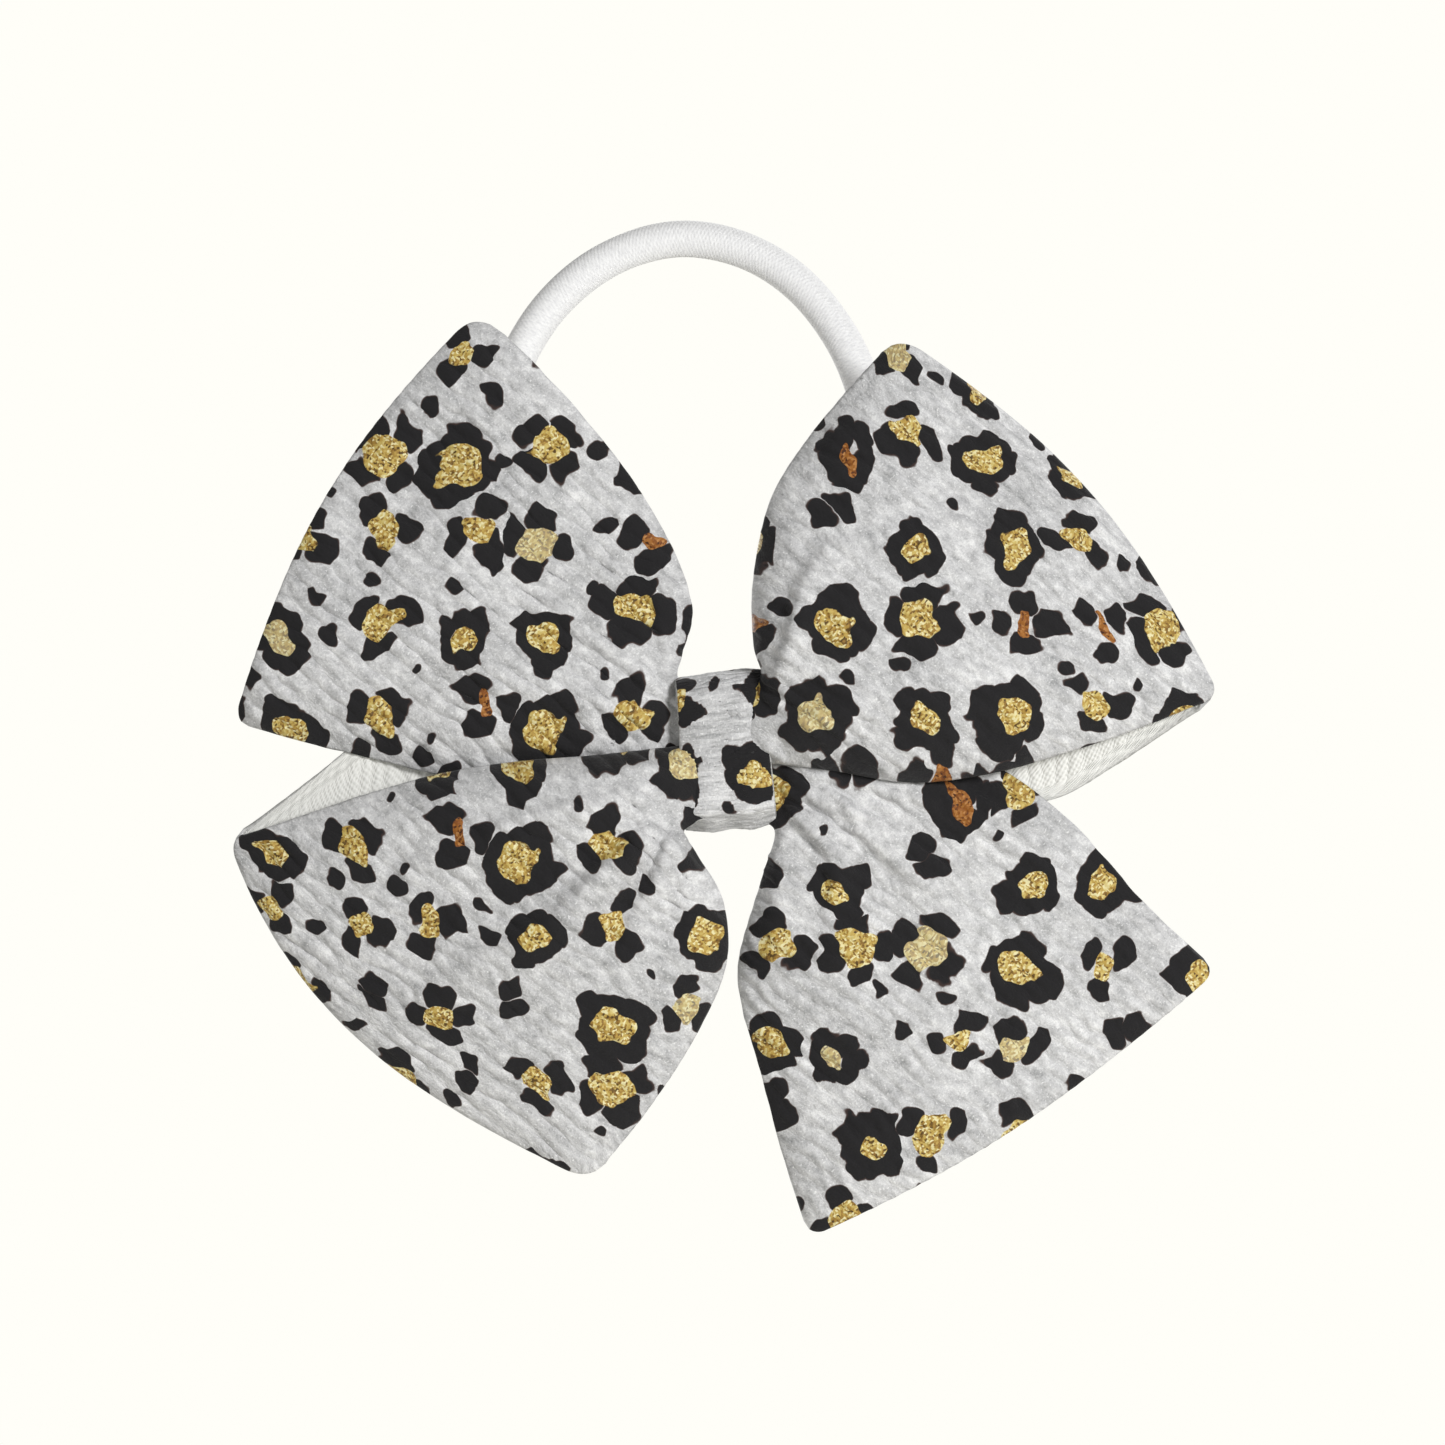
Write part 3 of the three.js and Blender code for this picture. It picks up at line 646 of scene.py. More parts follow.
# The power that rounds a block: 2 is a circle, and more is nearer a square.
BLOCK_POWER = 3.2


def block_distance(tree, x, y):
    """Distance from a middle that grows slower towards the corners, so that a spot is a rounded block."""
    x, y = (add(tree, "Math", {0: axis}, operation="ABSOLUTE") for axis in (x, y))
    x, y = (add(tree, "Math", {0: axis, 1: BLOCK_POWER}, operation="POWER") for axis in (x, y))
    total = add(tree, "Math", {0: x, 1: y}, operation="ADD")
    return add(tree, "Math", {0: total, 1: 1 / BLOCK_POWER}, operation="POWER")


def leopard_masks(tree, place):
    """How black and how golden each place of the print is, in millimetres inside its edge. Rosettes
    are petals of black round a blocky gold heart, some joined into a broken ring, some solid, with small
    solid spots between them."""
    bent = place
    # the outlines are bent at 12 mm, 3 mm and 1 mm, so that no two spots are alike
    for scale, amount in ((0.09, 5.0), (0.3, 2.6), (0.8, 0.6)):
        noise = add(tree, "TexNoise", {"Vector": place, "Scale": scale, "Detail": 0.0})
        noise = add(tree, "VectorMath", {0: noise.outputs["Color"], 1: (0.5, 0.5, 0.5)}, operation="SUBTRACT")
        noise = add(tree, "VectorMath", {0: noise, 1: (amount, amount, 0)}, operation="MULTIPLY")
        bent = add(tree, "VectorMath", {0: bent, 1: noise}, operation="ADD")
    rosettes = {"Scale": 1 / ROSETTE_PITCH, "Randomness": 0.45}
    cell = add(tree, "TexVoronoi", {"Vector": bent, **rosettes}, voronoi_dimensions="2D")
    chance = add(tree, "SeparateColor", {0: cell.outputs["Color"]})
    turn, kind, size = chance.outputs
    local = add(tree, "VectorMath", {0: bent, 1: cell.outputs["Position"]}, operation="SUBTRACT")
    grow = add(tree, "MapRange", {0: size, 3: 1.22, 4: 0.94})
    local = add(tree, "VectorMath", {0: local, "Scale": grow}, operation="SCALE")
    angle = add(tree, "Math", {0: turn, 1: 2 * math.pi}, operation="MULTIPLY")
    local = add(tree, "VectorRotate", {"Vector": local, "Angle": angle}, rotation_type="Z_AXIS")
    axes = add(tree, "SeparateXYZ", {0: local})
    radius = add(tree, "VectorMath", {0: local}, operation="LENGTH").outputs["Value"]
    around = add(tree, "Math", {0: axes.outputs[1], 1: axes.outputs[0]}, operation="ARCTAN2")
    solid = add(tree, "Math", {0: kind, 1: 0.87}, operation="GREATER_THAN")
    joined = add(tree, "Math", {0: kind, 1: 0.34}, operation="LESS_THAN")
    # three or four petals, and two on a solid spot
    petals = add(tree, "Math", {0: size, 1: 1.9, 2: 3.0}, operation="MULTIPLY_ADD")
    petals = add(tree, "Math", {0: petals}, operation="FLOOR")
    petals = add(tree, "Mix", {0: solid, 2: petals, 3: 2.0}, data_type="FLOAT")
    slice_ = add(tree, "Math", {0: 2 * math.pi, 1: petals}, operation="DIVIDE")
    number = add(tree, "Math", {0: around, 1: slice_}, operation="DIVIDE")
    number = add(tree, "Math", {0: number}, operation="ROUND")
    bend = add(tree, "Math", {0: number, 1: slice_}, operation="MULTIPLY")
    bend = add(tree, "Math", {0: around, 1: bend}, operation="SUBTRACT")
    cosine = add(tree, "Math", {0: bend}, operation="COSINE")
    sine = add(tree, "Math", {0: bend}, operation="SINE")
    outwards = add(tree, "Math", {0: radius, 1: cosine}, operation="MULTIPLY")
    sideways = add(tree, "Math", {0: radius, 1: sine}, operation="MULTIPLY")
    sideways = add(tree, "Math", {0: sideways, 1: 0.78}, operation="MULTIPLY")
    # the two opposite petals of an even rosette carry the numbers n/2 and -n/2
    number = add(tree, "Math", {0: number}, operation="ABSOLUTE")
    seed = add(tree, "Math", {0: turn, 1: 31.7, 2: number}, operation="MULTIPLY_ADD")
    lot = add(tree, "TexWhiteNoise", {"W": seed}, noise_dimensions="1D")
    centre = add(tree, "MapRange", {0: lot, 3: 3.6, 4: 4.5})
    centre = add(tree, "Mix", {0: solid, 2: centre, 3: 2.1}, data_type="FLOAT")
    outwards = add(tree, "Math", {0: outwards, 1: centre}, operation="SUBTRACT")
    petal = block_distance(tree, outwards, sideways)
    reach = add(tree, "MapRange", {0: lot, 3: 2.5, 4: 1.9})
    black = add(tree, "Math", {0: reach, 1: petal}, operation="SUBTRACT")
    # a joined rosette is a blocky ring with one gap
    block = block_distance(tree, axes.outputs[0], axes.outputs[1])
    ring = add(tree, "Math", {0: 4.9, 1: block}, operation="SUBTRACT")
    gap = add(tree, "Math", {0: around}, operation="ABSOLUTE")
    gap = add(tree, "Math", {0: gap, 1: 0.38}, operation="SUBTRACT")
    gap = add(tree, "Math", {0: gap, 1: radius}, operation="MULTIPLY")
    ring = add(tree, "Math", {0: ring, 1: gap}, operation="MINIMUM")
    ring = add(tree, "Mix", {0: joined, 2: NOWHERE, 3: ring}, data_type="FLOAT")
    black = add(tree, "Math", {0: black, 1: ring}, operation="MAXIMUM")
    # small solid spots in the open ground
    specks = {"Scale": 1 / SPECK_PITCH, "Randomness": 0.9}
    speck = add(tree, "TexVoronoi", {"Vector": bent, **specks}, voronoi_dimensions="2D")
    lot = add(tree, "SeparateColor", {0: speck.outputs["Color"]})
    spot = add(tree, "Math", {0: speck.outputs["Distance"], 1: SPECK_PITCH}, operation="MULTIPLY")
    reach = add(tree, "MapRange", {0: lot.outputs[1], 3: 0.9, 4: 2.0})
    spot = add(tree, "Math", {0: reach, 1: spot}, operation="SUBTRACT")
    # one stays only if its own middle is clear of the nearest rosette
    middle = speck.outputs["Position"]
    host = add(tree, "TexVoronoi", {"Vector": middle, **rosettes}, voronoi_dimensions="2D")
    near = SPECK_CLEARANCE / ROSETTE_PITCH
    clear = add(tree, "Math", {0: host.outputs["Distance"], 1: near}, operation="GREATER_THAN")
    rare = add(tree, "Math", {0: lot.outputs[0], 1: 0.8}, operation="LESS_THAN")
    rare = add(tree, "Math", {0: rare, 1: clear}, operation="MULTIPLY")
    spot = add(tree, "Mix", {0: rare, 2: NOWHERE, 3: spot}, data_type="FLOAT")
    black = add(tree, "Math", {0: black, 1: spot}, operation="MAXIMUM")
    # the gold heart, blocky, now and then a narrow bar, and none in a solid spot
    narrow = add(tree, "MapRange", {0: turn, 1: 0.8, 2: 0.86, 3: 1.0, 4: 2.3})
    across = add(tree, "Math", {0: axes.outputs[0], 1: narrow}, operation="MULTIPLY")
    heart = block_distance(tree, across, axes.outputs[1])
    width = add(tree, "MapRange", {0: size, 3: 2.4, 4: 2.9})
    width = add(tree, "Mix", {0: solid, 2: width, 3: NOWHERE}, data_type="FLOAT")
    gold = add(tree, "Math", {0: width, 1: heart}, operation="SUBTRACT")
    return black, gold, turn


def printed_knit(wrinkled=False):
    """Crepe stretch knit, heat-transfer printed: a matt, mottled pale ground with raised diagonal cords, soft
    black rosettes that take the light like the cloth, and gold glitter-effect hearts. Part of the ground's
    grey is painted shade along the cords, and on the wrap along its wrinkles; its white points are painted
    highlights."""
    material, tree = new_material("stretched printed crepe knit" if wrinkled else "printed crepe knit")
    place = add(tree, "Attribute", attribute_name="cloth_mm").outputs["Vector"]
    black, gold, tint = leopard_masks(tree, place)
    # ground: clouded grey with the heather of the yarn in it, drawn out along the cords as painted shade of
    # their ridges; on the wrap it is drawn out across into streaks of painted shade along the fine wrinkles
    stretch = (3.6, 0.42, 1) if wrinkled else (1.5, 0.9, 1)
    turn = (0, 0, 0 if wrinkled else math.radians(-38))
    drawn = {"Vector": place, "Rotation": turn, "Scale": stretch}
    drawn = add(tree, "Mapping", drawn, vector_type="TEXTURE")
    mottle_and_painted_shade = add(tree, "TexNoise", {"Vector": drawn, "Scale": 0.55, "Detail": 7.0, "Roughness": 0.66})
    broad = add(tree, "TexNoise", {"Vector": place, "Scale": 0.07, "Detail": 2.0})
    grain = add(tree, "TexNoise", {"Vector": place, "Scale": 3.2, "Detail": 3.0, "Roughness": 0.75})
    shade = add(tree, "Math", {0: grain, 1: 0.5, 2: -0.25}, operation="MULTIPLY_ADD")
    shade = add(tree, "Math", {0: mottle_and_painted_shade, 1: shade}, operation="ADD")
    broad = add(tree, "Math", {0: broad, 1: 0.35, 2: -0.175}, operation="MULTIPLY_ADD")
    shade = add(tree, "Math", {0: shade, 1: broad}, operation="ADD")
    greys = [(0.24, "#969798"), (0.42, "#C0C0C1"), (0.56, "#D7D7D8"), (0.72, "#F5F5F5")]
    ground = add(tree, "ValToRGB", {0: shade}, greys)
    # painted highlights: white points a quarter of a millimetre across, standing for single white yarns
    # catching the light
    painted_glint = add(tree, "TexNoise", {"Vector": place, "Scale": 2.4, "Detail": 1.0})
    painted_glint = add(tree, "MapRange", {0: painted_glint, 1: 0.62, 2: 0.72, 4: 0.7})
    ground = add(tree, "Mix", {0: painted_glint, 6: ground, 7: rgba(from_hex("#F7F7F7"))}, data_type="RGBA")
    # gold: flakes of foil a third of a millimetre across, each its own tone, over broader tones
    flake = {"Vector": place, "Scale": 1 / 0.33, "Randomness": 1.0}
    flake = add(tree, "TexVoronoi", flake, voronoi_dimensions="2D")
    flake = add(tree, "SeparateColor", {0: flake.outputs["Color"]})
    tone = add(tree, "TexNoise", {"Vector": place, "Scale": 0.9, "Detail": 2.0})
    tone = add(tree, "Math", {0: tone, 1: 0.9, 2: -0.45}, operation="MULTIPLY_ADD")
    tone = add(tree, "Math", {0: flake.outputs[0], 1: tone}, operation="ADD")
    golds = [(0.0, "#5A4218"), (0.16, "#94702E"), (0.4, "#BC9A49"), (0.68, "#D3BC6C"), (0.95, "#EFE6B4")]
    foil = add(tree, "ValToRGB", {0: tone}, golds)
    # one rosette in ten is coppery, and one in six pale
    copper = add(tree, "Math", {0: tint, 1: 0.88}, operation="GREATER_THAN")
    foil = {0: copper, 6: foil, 7: rgba(from_hex("#C9946E"))}
    foil = add(tree, "Mix", foil, data_type="RGBA", blend_type="MULTIPLY")
    pale = add(tree, "Math", {0: tint, 1: 0.17}, operation="LESS_THAN")
    pale = add(tree, "Math", {0: pale, 1: 0.3}, operation="MULTIPLY")
    foil = {0: pale, 6: foil.outputs[2], 7: rgba(from_hex("#D2D0B6"))}
    foil = add(tree, "Mix", foil, data_type="RGBA")
    # black ink ends in a thin brown fringe
    ink = add(tree, "MapRange", {0: black, 1: -0.07, 2: 0.09}, interpolation_type="SMOOTHSTEP")
    fringe = add(tree, "MapRange", {0: black, 1: 0.02, 2: 0.25}, interpolation_type="SMOOTHSTEP")
    ink_colour = {0: fringe, 6: rgba(from_hex("#4A3833")), 7: rgba(bpy.context.scene.bow_colours.ink)}
    ink_colour = add(tree, "Mix", ink_colour, data_type="RGBA")
    colour = add(tree, "Mix", {0: ink, 6: ground.outputs[2], 7: ink_colour.outputs[2]}, data_type="RGBA")
    shine = add(tree, "MapRange", {0: gold, 1: -0.06, 2: 0.06}, interpolation_type="SMOOTHSTEP")
    colour = add(tree, "Mix", {0: shine, 6: colour.outputs[2], 7: foil.outputs[2]}, data_type="RGBA")
    # the crepe's grain, finer than the cords that the mesh holds
    pebble = add(tree, "TexNoise", {"Vector": drawn, "Scale": 1.1, "Detail": 2.0})
    height = add(tree, "Math", {0: grain, 1: 0.45, 2: pebble}, operation="MULTIPLY_ADD")
    bump = add(tree, "Bump", {"Height": height, "Strength": 0.7, "Distance": 0.0005})
    rough = add(tree, "MapRange", {0: shine, 3: 0.86, 4: 0.45})
    shader = add(
        tree,
        "BsdfPrincipled",
        {
            "Base Color": colour.outputs[2],
            "Roughness": rough,
            "Normal": bump,
            "IOR": 1.5,
            "Specular IOR Level": 0.3,
            "Sheen Weight": 0.1,
            "Sheen Roughness": 0.5,
        },
    )
    add(tree, "OutputMaterial", {"Surface": shader})
    return material


def wrap_knit():
    """The same knit pulled tight round the middle, its grey drawn out across the pull into streaks of painted
    shade along the fine wrinkles.
    """
    return printed_knit(wrinkled=True)


def knit_wrong_side():
    """The knit's unprinted back: off-white loops in fine rows, soft and matt."""
    material, tree = new_material("knit wrong side")
    place = add(tree, "Attribute", attribute_name="cloth_mm").outputs["Vector"]
    pace = 2 * math.pi / (bpy.context.scene.bow_sizes.knit_pitch / MM)
    turned = {"Vector": place, "Rotation": (0, 0, math.radians(35)), "Scale": (pace, pace, 1)}
    turned = add(tree, "Mapping", turned)
    wobble = add(tree, "TexNoise", {"Vector": place, "Scale": 0.8, "Detail": 2.0})
    turned = {0: wobble.outputs["Color"], 1: (2.0, 2.0, 0), 2: turned}
    turned = add(tree, "VectorMath", turned, operation="MULTIPLY_ADD")
    axes = add(tree, "SeparateXYZ", {0: turned})
    wale = add(tree, "Math", {0: axes.outputs[0]}, operation="SINE")
    course = add(tree, "Math", {0: axes.outputs[1]}, operation="SINE")
    stitch = add(tree, "Math", {0: wale, 1: course}, operation="MULTIPLY")
    fuzz = add(tree, "TexNoise", {"Vector": place, "Scale": 3.0, "Detail": 3.0})
    height = add(tree, "Math", {0: fuzz, 1: 1.2, 2: stitch}, operation="MULTIPLY_ADD")
    bump = add(tree, "Bump", {"Height": height, "Strength": 0.6, "Distance": 0.00012})
    # the colour follows the stitches' height, darker in their hollows: painted shade, with the fuzz adding
    # tone at random
    tone = add(tree, "MapRange", {0: height, 1: -0.9, 2: 1.6})
    colour = add(tree, "ValToRGB", {0: tone}, [(0.0, "#CFCFC8"), (0.35, "#E9E9E4"), (0.7, "#F6F6F2")])
    shader = add(
        tree,
        "BsdfPrincipled",
        {
            "Base Color": colour,
            "Roughness": 0.92,
            "Normal": bump,
            "Specular IOR Level": 0.25,
            "Sheen Weight": 0.3,
        },
    )
    add(tree, "OutputMaterial", {"Surface": shader})
    return material


def cut_edge():
    """The rotary-cut edge of the knit: the white yarn shows, painted in greys darker than the wrong side as
    shade on the narrow edge.
    """
    material, tree = new_material("knit cut edge")
    place = add(tree, "Attribute", attribute_name="cloth_mm").outputs["Vector"]
    yarn = add(tree, "TexNoise", {"Vector": place, "Scale": 1.8, "Detail": 3.0})
    # greys darker than the wrong side: painted shade on the narrow edge
    colour = add(tree, "ValToRGB", {0: yarn}, [(0.3, "#A8A8A6"), (0.55, "#C6C6C4"), (0.75, "#DDDDDA")])
    bump = add(tree, "Bump", {"Height": yarn, "Strength": 0.6, "Distance": 0.0002})
    shader = add(tree, "BsdfPrincipled", {"Base Color": colour, "Roughness": 0.9, "Normal": bump})
    add(tree, "OutputMaterial", {"Surface": shader})
    return material


def elastic_sheath():
    """Knitted nylon over rubber: white, faintly fuzzy, with fine crosswise stitches."""
    material, tree = new_material("knitted nylon sheath")
    place = add(tree, "Attribute", attribute_name="cloth_mm").outputs["Vector"]
    drawn = add(tree, "Mapping", {"Vector": place, "Scale": (2.2, 0.6, 1)})
    streak = add(tree, "TexNoise", {"Vector": drawn, "Scale": 1.3, "Detail": 4.0, "Roughness": 0.65})
    ribs = add(tree, "Mapping", {"Vector": place, "Scale": (2 * math.pi / 0.62, 2 * math.pi / 1.5, 1)})
    axes = add(tree, "SeparateXYZ", {0: ribs})
    across = add(tree, "Math", {0: axes.outputs[0]}, operation="SINE")
    along = add(tree, "Math", {0: axes.outputs[1]}, operation="SINE")
    stitch = add(tree, "Math", {0: across, 1: along}, operation="MULTIPLY")
    height = add(tree, "Math", {0: streak, 1: 2.0, 2: stitch}, operation="MULTIPLY_ADD")
    bump = add(tree, "Bump", {"Height": height, "Strength": 0.35, "Distance": 0.0001})
    colour = add(tree, "ValToRGB", {0: streak}, [(0.3, "#E3E3E5"), (0.5, "#F4F4F5"), (0.7, "#FEFEFE")])
    shader = add(
        tree,
        "BsdfPrincipled",
        {
            "Base Color": colour,
            "Roughness": 0.78,
            "Normal": bump,
            "Specular IOR Level": 0.35,
            "Sheen Weight": 0.5,
        },
    )
    add(tree, "OutputMaterial", {"Surface": shader})
    return material


def spun_thread():
    """Spun polyester sewing thread: off-white, lighter on each ply's crest and darker between plies, as
    painted sheen and shade.
    """
    material, tree = new_material("spun polyester thread")
    place = add(tree, "TexCoord").outputs["Object"]
    ply = {"Vector": place, "Scale": 900.0, "Distortion": 1.5}
    ply = add(tree, "TexWave", ply, bands_direction="DIAGONAL")
    # the colour follows the ply's waves, lighter on the crests: painted sheen and shade
    colour = add(tree, "ValToRGB", {0: ply.outputs["Color"]}, [(0.0, "#D5D3C8"), (1.0, "#F7F6F0")])
    bump = add(tree, "Bump", {"Height": ply.outputs["Fac"], "Strength": 0.5, "Distance": 0.00008})
    shader = {"Base Color": colour, "Roughness": 0.55, "Normal": bump, "Sheen Weight": 0.2}
    shader = add(tree, "BsdfPrincipled", shader)
    add(tree, "OutputMaterial", {"Surface": shader})
    return material


def hot_melt_glue():
    """Hot-melt glue, pressed flat and set: milky, cloudy inside, smooth and slightly glossy."""
    material, tree = new_material("hot melt glue")
    place = add(tree, "TexCoord").outputs["Object"]
    haze = add(tree, "TexNoise", {"Vector": place, "Scale": 400.0, "Detail": 3.0})
    colour = add(tree, "ValToRGB", {0: haze}, [(0.3, "#D9D2BC"), (0.7, "#F0ECDD")])
    bump = add(tree, "Bump", {"Height": haze, "Strength": 0.3, "Distance": 0.0001})
    shader = add(
        tree,
        "BsdfPrincipled",
        {
            "Base Color": colour,
            "Roughness": 0.3,
            "Normal": bump,
            "IOR": 1.48,
            "Subsurface Weight": 0.15,
        },
    )
    add(tree, "OutputMaterial", {"Surface": shader})
    return material


def latex_rubber():
    """Natural latex strand, extruded and dusted with talc: buff coloured, cloudy and dull."""
    material, tree = new_material("latex rubber strand")
    place = add(tree, "TexCoord").outputs["Object"]
    dust = add(tree, "TexNoise", {"Vector": place, "Scale": 700.0, "Detail": 3.0})
    colour = add(tree, "ValToRGB", {0: dust}, [(0.3, "#BFB39A"), (0.7, "#DCD2BC")])
    bump = add(tree, "Bump", {"Height": dust, "Strength": 0.3, "Distance": 0.00008})
    shader = {"Base Color": colour, "Roughness": 0.65, "Normal": bump, "IOR": 1.52}
    shader = add(tree, "BsdfPrincipled", shader)
    add(tree, "OutputMaterial", {"Surface": shader})
    return material


def crimped_steel():
    """Nickel-plated steel ferrule, rolled and crimped: bright, with patches dulled by handling."""
    material, tree = new_material("nickel plated steel")
    place = add(tree, "TexCoord").outputs["Object"]
    marks = add(tree, "TexNoise", {"Vector": place, "Scale": 900.0, "Detail": 4.0})
    rough = add(tree, "MapRange", {0: marks, 3: 0.22, 4: 0.5})
    colour = add(tree, "ValToRGB", {0: marks}, [(0.3, "#A9A8A5"), (0.7, "#C9C8C4")])
    shader = add(tree, "BsdfPrincipled", {"Base Color": colour, "Roughness": rough, "Metallic": 1.0})
    add(tree, "OutputMaterial", {"Surface": shader})
    return material


def studio_paper():
    """Seamless paper roll, matt and near white, with a faint tooth."""
    material, tree = new_material("seamless paper")
    place = add(tree, "TexCoord").outputs["Object"]
    tooth = add(tree, "TexNoise", {"Vector": place, "Scale": 300.0, "Detail": 3.0})
    colour = add(tree, "ValToRGB", {0: tooth}, [(0.3, "#F4F2EA"), (0.7, "#F8F6EF")])
    bump = add(tree, "Bump", {"Height": tooth, "Strength": 0.1, "Distance": 0.0002})
    shader = add(tree, "BsdfPrincipled", {"Base Color": colour, "Roughness": 0.95, "Normal": bump})
    add(tree, "OutputMaterial", {"Surface": shader})
    return material


MATERIAL_MAKERS = {
    "print": printed_knit,
    "wrap": wrap_knit,
    "wrong": knit_wrong_side,
    "edge": cut_edge,
    "sheath": elastic_sheath,
    "thread": spun_thread,
    "glue": hot_melt_glue,
    "rubber": latex_rubber,
    "steel": crimped_steel,
    "paper": studio_paper,
}
made_materials = {}


def material(name):
    """The named material, made the first time it is asked for."""
    if name not in made_materials:
        made_materials[name] = MATERIAL_MAKERS[name]()
    return made_materials[name]


# ---------------------------------------------------------------- properties


class BowSizes(bpy.types.PropertyGroup):
    """Sizes of the bow's cloth, loops and elastic."""

    cloth_thick: bpy.props.FloatProperty(
        name="Cloth thickness",
        description="Thickness of the stretch knit",
        default=0.9 * MM,
        unit="LENGTH",
    )
    cord_pitch: bpy.props.FloatProperty(
        name="Cord spacing",
        description="Distance between the knit's raised diagonal cords",
        default=2.7 * MM,
        unit="LENGTH",
    )
    cord_height: bpy.props.FloatProperty(
        name="Cord height", description="How far the cords stand up", default=0.26 * MM, unit="LENGTH"
    )
    fold_depth: bpy.props.FloatProperty(
        name="Fold depth",
        description="How deep the lobes' folds are, against their drawn depth",
        default=1.0,
        subtype="FACTOR",
    )
    knit_pitch: bpy.props.FloatProperty(
        name="Stitch spacing",
        description="Distance between stitches on the wrong side",
        default=0.89 * MM,
        unit="LENGTH",
    )
    front_puff: bpy.props.FloatProperty(
        name="Front swell",
        description="How far a loop's front layer swells forwards",
        default=7.0 * MM,
        unit="LENGTH",
    )
    back_puff: bpy.props.FloatProperty(
        name="Back swell",
        description="How far a loop's back layer swells backwards",
        default=0.5 * MM,
        unit="LENGTH",
    )
    wrap_width: bpy.props.FloatProperty(
        name="Wrap width",
        description="Width of the band round the middle",
        default=14 * MM,
        unit="LENGTH",
    )
    wrap_tilt: bpy.props.FloatProperty(
        name="Wrap tilt",
        description="How far the knot leans, seen from the front",
        default=-0.08,
        unit="ROTATION",
    )
    elastic_thick: bpy.props.FloatProperty(
        name="Elastic thickness",
        description="Diameter of the hair elastic",
        default=6.0 * MM,
        unit="LENGTH",
    )

    @property
    def core_depth(self):
        """Depth of the gathered middle in millimetres, from the frame."""
        low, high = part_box("gathered_core")
        return (low.y + high.y) / 2 / MM


class BowColours(bpy.types.PropertyGroup):
    """Colours that a user would change."""

    ink: bpy.props.FloatVectorProperty(
        name="Spots",
        description="Colour of the printed spots",
        subtype="COLOR",
        size=3,
        default=from_hex("#1E1D1F"),
    )
    backdrop: bpy.props.FloatVectorProperty(
        name="Backdrop",
        description="Colour of the light all round",
        subtype="COLOR",
        size=3,
        default=from_hex("#FFFEF8"),
    )


# ---------------------------------------------------------------- operators

# Each area light: its place in metres, its width in metres and its power in watts. All aim at the knot.
LIGHTS = {
    "key": ((0.60, -0.89, 0.24), 0.3, 8.8),
    "fill": ((-0.80, -0.85, 0.20), 0.6, 1.6),
    "back_key": ((0.60, 0.85, 0.70), 0.6, 7.0),
    "back_fill": ((-0.70, 0.90, 0.15), 0.6, 4.5),
}
# How strongly the backdrop lights the bow, against 1 for how strongly it is seen.
BACKDROP_LIGHT = 0.21
FLOOR_RADIUS, FLOOR_BEHIND, FLOOR_BELOW = 0.42, 0.02, 0.08
# The camera looks straight at a plane through the bow's front, and takes in this width of it.
CAMERA_LENS, CAMERA_SENSOR = 185, 36
VIEW_WIDTH, VIEW_MIDDLE = 0.2332, (-0.0004, -0.018, 0.0052)


class BuildStage(bpy.types.Operator):
    """Add the paper floor, the soft lights and the camera"""

    bl_idname = "hairbow.stage"
    bl_label = "Stage"

    def execute(self, context):
        scene = context.scene
        place = (0, FLOOR_BEHIND, cad_box[0][2] - FLOOR_BELOW)
        bpy.ops.mesh.primitive_circle_add(vertices=96, radius=FLOOR_RADIUS, fill_type="NGON", location=place)
        floor = context.object
        floor.name = "paper_floor"
        floor.data.materials.append(material("paper"))
        world = bpy.data.worlds.new("studio")
        world.use_nodes = True
        tree = world.node_tree
        seen = add(tree, "LightPath").outputs["Is Camera Ray"]
        strength = add(tree, "MapRange", {0: seen, 3: BACKDROP_LIGHT, 4: 1.0})
        background = tree.nodes["Background"]
        background.inputs["Color"].default_value = rgba(scene.bow_colours.backdrop)
        tree.links.new(strength.outputs[0], background.inputs["Strength"])
        scene.world = world
        for name, (place, size, power) in LIGHTS.items():
            lamp = bpy.data.lights.new(name, "AREA")
            lamp.shape = "DISK"
            lamp.size = size
            lamp.energy = power
            holder = bpy.data.objects.new(name, lamp)
            holder.location = place
            aim = -holder.location
            holder.rotation_euler = aim.to_track_quat("-Z", "Y").to_euler()
            scene.collection.objects.link(holder)
        camera = bpy.data.cameras.new("camera")
        camera.lens = CAMERA_LENS
        camera.sensor_width = CAMERA_SENSOR
        distance = VIEW_WIDTH * camera.lens / camera.sensor_width
        eye = bpy.data.objects.new("camera", camera)
        eye.location = (VIEW_MIDDLE[0], VIEW_MIDDLE[1] - distance, VIEW_MIDDLE[2])
        eye.rotation_euler = (math.pi / 2, 0, 0)
        scene.collection.objects.link(eye)
        scene.camera = eye
        scene.view_settings.view_transform = "Standard"
        return {"FINISHED"}


def cloth_object(name, grid, places, shift, finish):
    """A sheet of the printed knit, with its right side in the given finish."""
    thick = bpy.context.scene.bow_sizes.cloth_thick / MM
    mesh = outward_normals(cloth_mesh(name, grid, with_print_shift(places, shift), thick))
    return make_object(name, mesh, [material(finish), material("wrong"), material("edge")])


def finish_lobe(name, grid, places, body, nodes):
    """Makes a lobe's cloth with its right side facing forwards, and hides the imported pieces that it stands
    for.
    """
    grid, places = facing_forwards(grid, places)
    piece = cloth_object(name, grid, places, LOBES[body]["print_at"], "print")
    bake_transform(piece)
    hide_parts(*nodes)


class BuildTails(bpy.types.Operator):
    """Add the strip's two tails, each a single layer with its wrong side behind"""

    bl_idname = "hairbow.tails"
    bl_label = "Tails"

    def execute(self, context):
        sizes = context.scene.bow_sizes
        for seed, body in ((11, "upper_left"), (23, "lower_right")):
            grid, places = tail_grid(LOBES[body], sizes, seed, (210, 200))
            finish_lobe(body + "_tail_cloth", grid, places, body, [body + "_tail"])
        return {"FINISHED"}


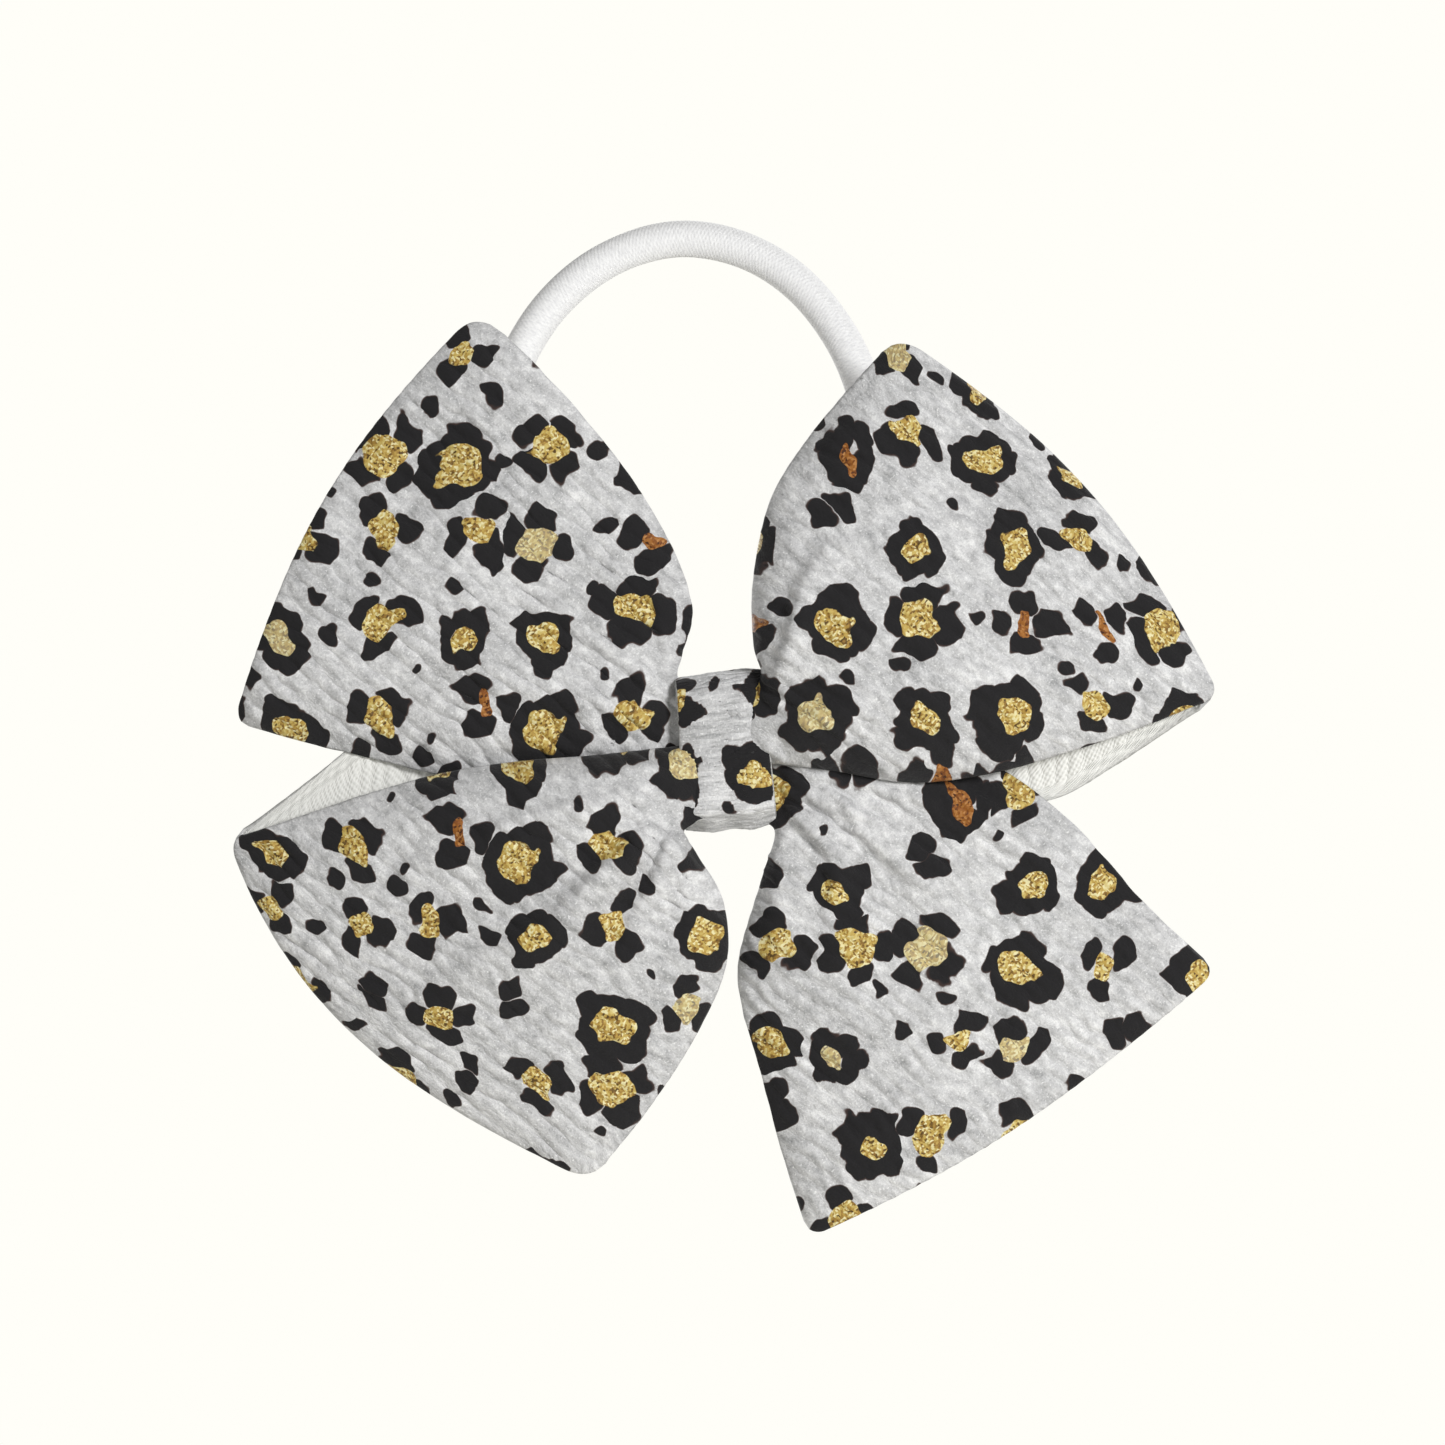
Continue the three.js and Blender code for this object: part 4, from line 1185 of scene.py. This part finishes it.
class BuildLoops(bpy.types.Operator):
    """Add the strip's two loops, each folded over at its outer end"""

    bl_idname = "hairbow.loops"
    bl_label = "Loops"

    def execute(self, context):
        sizes = context.scene.bow_sizes
        for seed, body in ((37, "upper_right"), (53, "lower_left")):
            grid, places = loop_grid(LOBES[body], sizes, seed, (400, 200))
            nodes = [body + "_loop_front", body + "_loop_back"]
            finish_lobe(body + "_loop_cloth", grid, places, body, nodes)
        return {"FINISHED"}


class BuildWrap(bpy.types.Operator):
    """Add the small band that covers the gathered middle"""

    bl_idname = "hairbow.wrap"
    bl_label = "Centre wrap"

    def execute(self, context):
        grid, places, out = wrap_grid(context.scene.bow_sizes, 71, (900, 36))
        middle = len(grid) // 3
        if grid_normals(grid)[middle, :, 1].mean() * out[middle, 1] < 0:
            grid, places = grid[:, ::-1], places[:, ::-1]
        piece = cloth_object("centre_wrap_band", grid, places, WRAP_PRINT_AT, "wrap")
        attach(piece, "knot")
        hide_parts("centre_wrap")
        return {"FINISHED"}


class BuildCore(bpy.types.Operator):
    """Add the strip's middle, gathered into pleats inside the wrap"""

    bl_idname = "hairbow.core"
    bl_label = "Gathered middle"

    def execute(self, context):
        tilt = context.scene.bow_sizes.wrap_tilt
        low, high = (np.array(corner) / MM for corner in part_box("gathered_core"))
        middle, half = (low + high) / 2, (high - low) / 2
        half[2] -= half[0] * math.sin(abs(tilt))
        pleats, half_long = 14, 6.5
        lengthwise, round_it = np.linspace(-half_long, half_long, 40), np.linspace(0, 2 * math.pi, 168, False)
        x, angle = np.meshgrid(lengthwise, round_it, indexing="ij")
        pleat = np.cos(pleats * angle + 0.5 * waves(x, 6 * np.cos(angle), 9, 83))
        reach = 0.93 + 0.055 * pleat + 0.012 * waves(x, 9 * angle, 5, 89)
        # the root of the sine and cosine squares the bundle off, as the band's pull does
        z, y = (
            middle[k] + half[k] * reach * (np.sign(turned) * np.sqrt(np.abs(turned)))
            for k, turned in ((2, np.cos(angle)), (1, np.sin(angle)))
        )
        rings = leaned(x, y, z, tilt)
        ends = [rings[0].mean(0), rings[-1].mean(0)]
        places = np.stack([x.ravel(), 9 * angle.ravel(), np.zeros(x.size)], 1)
        mesh = ring_mesh("gathered_middle", rings, ends, places)
        piece = make_object("gathered_middle", mesh, [material("wrong")])
        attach(piece, "knot")
        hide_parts("gathered_core")
        return {"FINISHED"}


class BuildElastic(bpy.types.Operator):
    """Add the round hair elastic that runs through the knot"""

    bl_idname = "hairbow.elastic"
    bl_label = "Hair elastic"

    def execute(self, context):
        sizes = context.scene.bow_sizes
        low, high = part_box("elastic_crimp")
        depth = (low.y + high.y) / 2 / MM
        flat = smooth_line(ELASTIC_ROUTE, np.linspace(0, 1, 2000))
        run = np.concatenate([[0], np.cumsum(np.linalg.norm(np.diff(flat, axis=0), axis=1))])
        at = np.linspace(0, run[-1], 380)
        x, up = softened(np.stack([np.interp(at, run, flat[:, k]) for k in (0, 1)], 1), 9).T
        path = np.stack([x, depth + up * math.sin(ELASTIC_LEAN), up * math.cos(ELASTIC_LEAN)], 1)
        parts = {}
        for name, layer, kind, radius, sides, swell in (
            ("elastic_rubber_loop", "elastic_rubber", "rubber", RUBBER_RADIUS, 20, 0.0),
            ("hair_elastic", "elastic_sheath", "sheath", sizes.elastic_thick / MM / 2, 48, 0.012),
        ):
            mesh = tube(name, path, ELASTIC_LEAN, radius, sides, swell)
            parts[name] = make_object(name, mesh, [material(kind)])
            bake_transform(parts[name])
            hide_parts(*(f"{layer}_{part}" for part in ("left_leg", "crown", "right_leg")))
        return {"FINISHED"}


class BuildInside(bpy.types.Operator):
    """Finish the hidden pieces: the elastic in its channel, ferrule, thread, stitches and glue"""

    bl_idname = "hairbow.inside"
    bl_label = "Inside the knot"

    def execute(self, context):
        kinds = {
            "elastic_sheath_channel": "sheath",
            "cinch_thread": "thread",
            "wrap_tacking_stitches": "thread",
            "wrap_glue_bead": "glue",
            "elastic_crimp": "steel",
            "elastic_rubber_channel": "rubber",
        }
        for name, kind in kinds.items():
            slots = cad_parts[name].data.materials
            slots.clear()
            slots.append(material(kind))
        return {"FINISHED"}


class BowPanel(bpy.types.Panel):
    """Lists the bow's builders in the sidebar"""

    bl_idname = "VIEW3D_PT_hair_bow"
    bl_label = "Hair Bow"
    bl_space_type = "VIEW_3D"
    bl_region_type = "UI"
    bl_category = "Hair Bow"

    def draw(self, context):
        for group in (context.scene.bow_sizes, context.scene.bow_colours):
            for name in group.bl_rna.properties.keys():
                if name not in ("rna_type", "name"):
                    self.layout.prop(group, name)
        for operator in OPERATORS:
            self.layout.operator(operator.bl_idname)


OPERATORS = (BuildStage, BuildElastic, BuildCore, BuildWrap, BuildTails, BuildLoops, BuildInside)
CLASSES = (BowSizes, BowColours, *OPERATORS, BowPanel)


def register():
    for cls in CLASSES:
        bpy.utils.register_class(cls)
    bpy.types.Scene.bow_sizes = bpy.props.PointerProperty(type=BowSizes)
    bpy.types.Scene.bow_colours = bpy.props.PointerProperty(type=BowColours)


def unregister():
    del bpy.types.Scene.bow_colours
    del bpy.types.Scene.bow_sizes
    for cls in reversed(CLASSES):
        bpy.utils.unregister_class(cls)


def main():
    register()
    bpy.ops.hairbow.stage()
    bpy.ops.hairbow.elastic()
    bpy.ops.hairbow.core()
    bpy.ops.hairbow.wrap()
    bpy.ops.hairbow.tails()
    bpy.ops.hairbow.loops()
    bpy.ops.hairbow.inside()


if __name__ == "__main__":
    main()
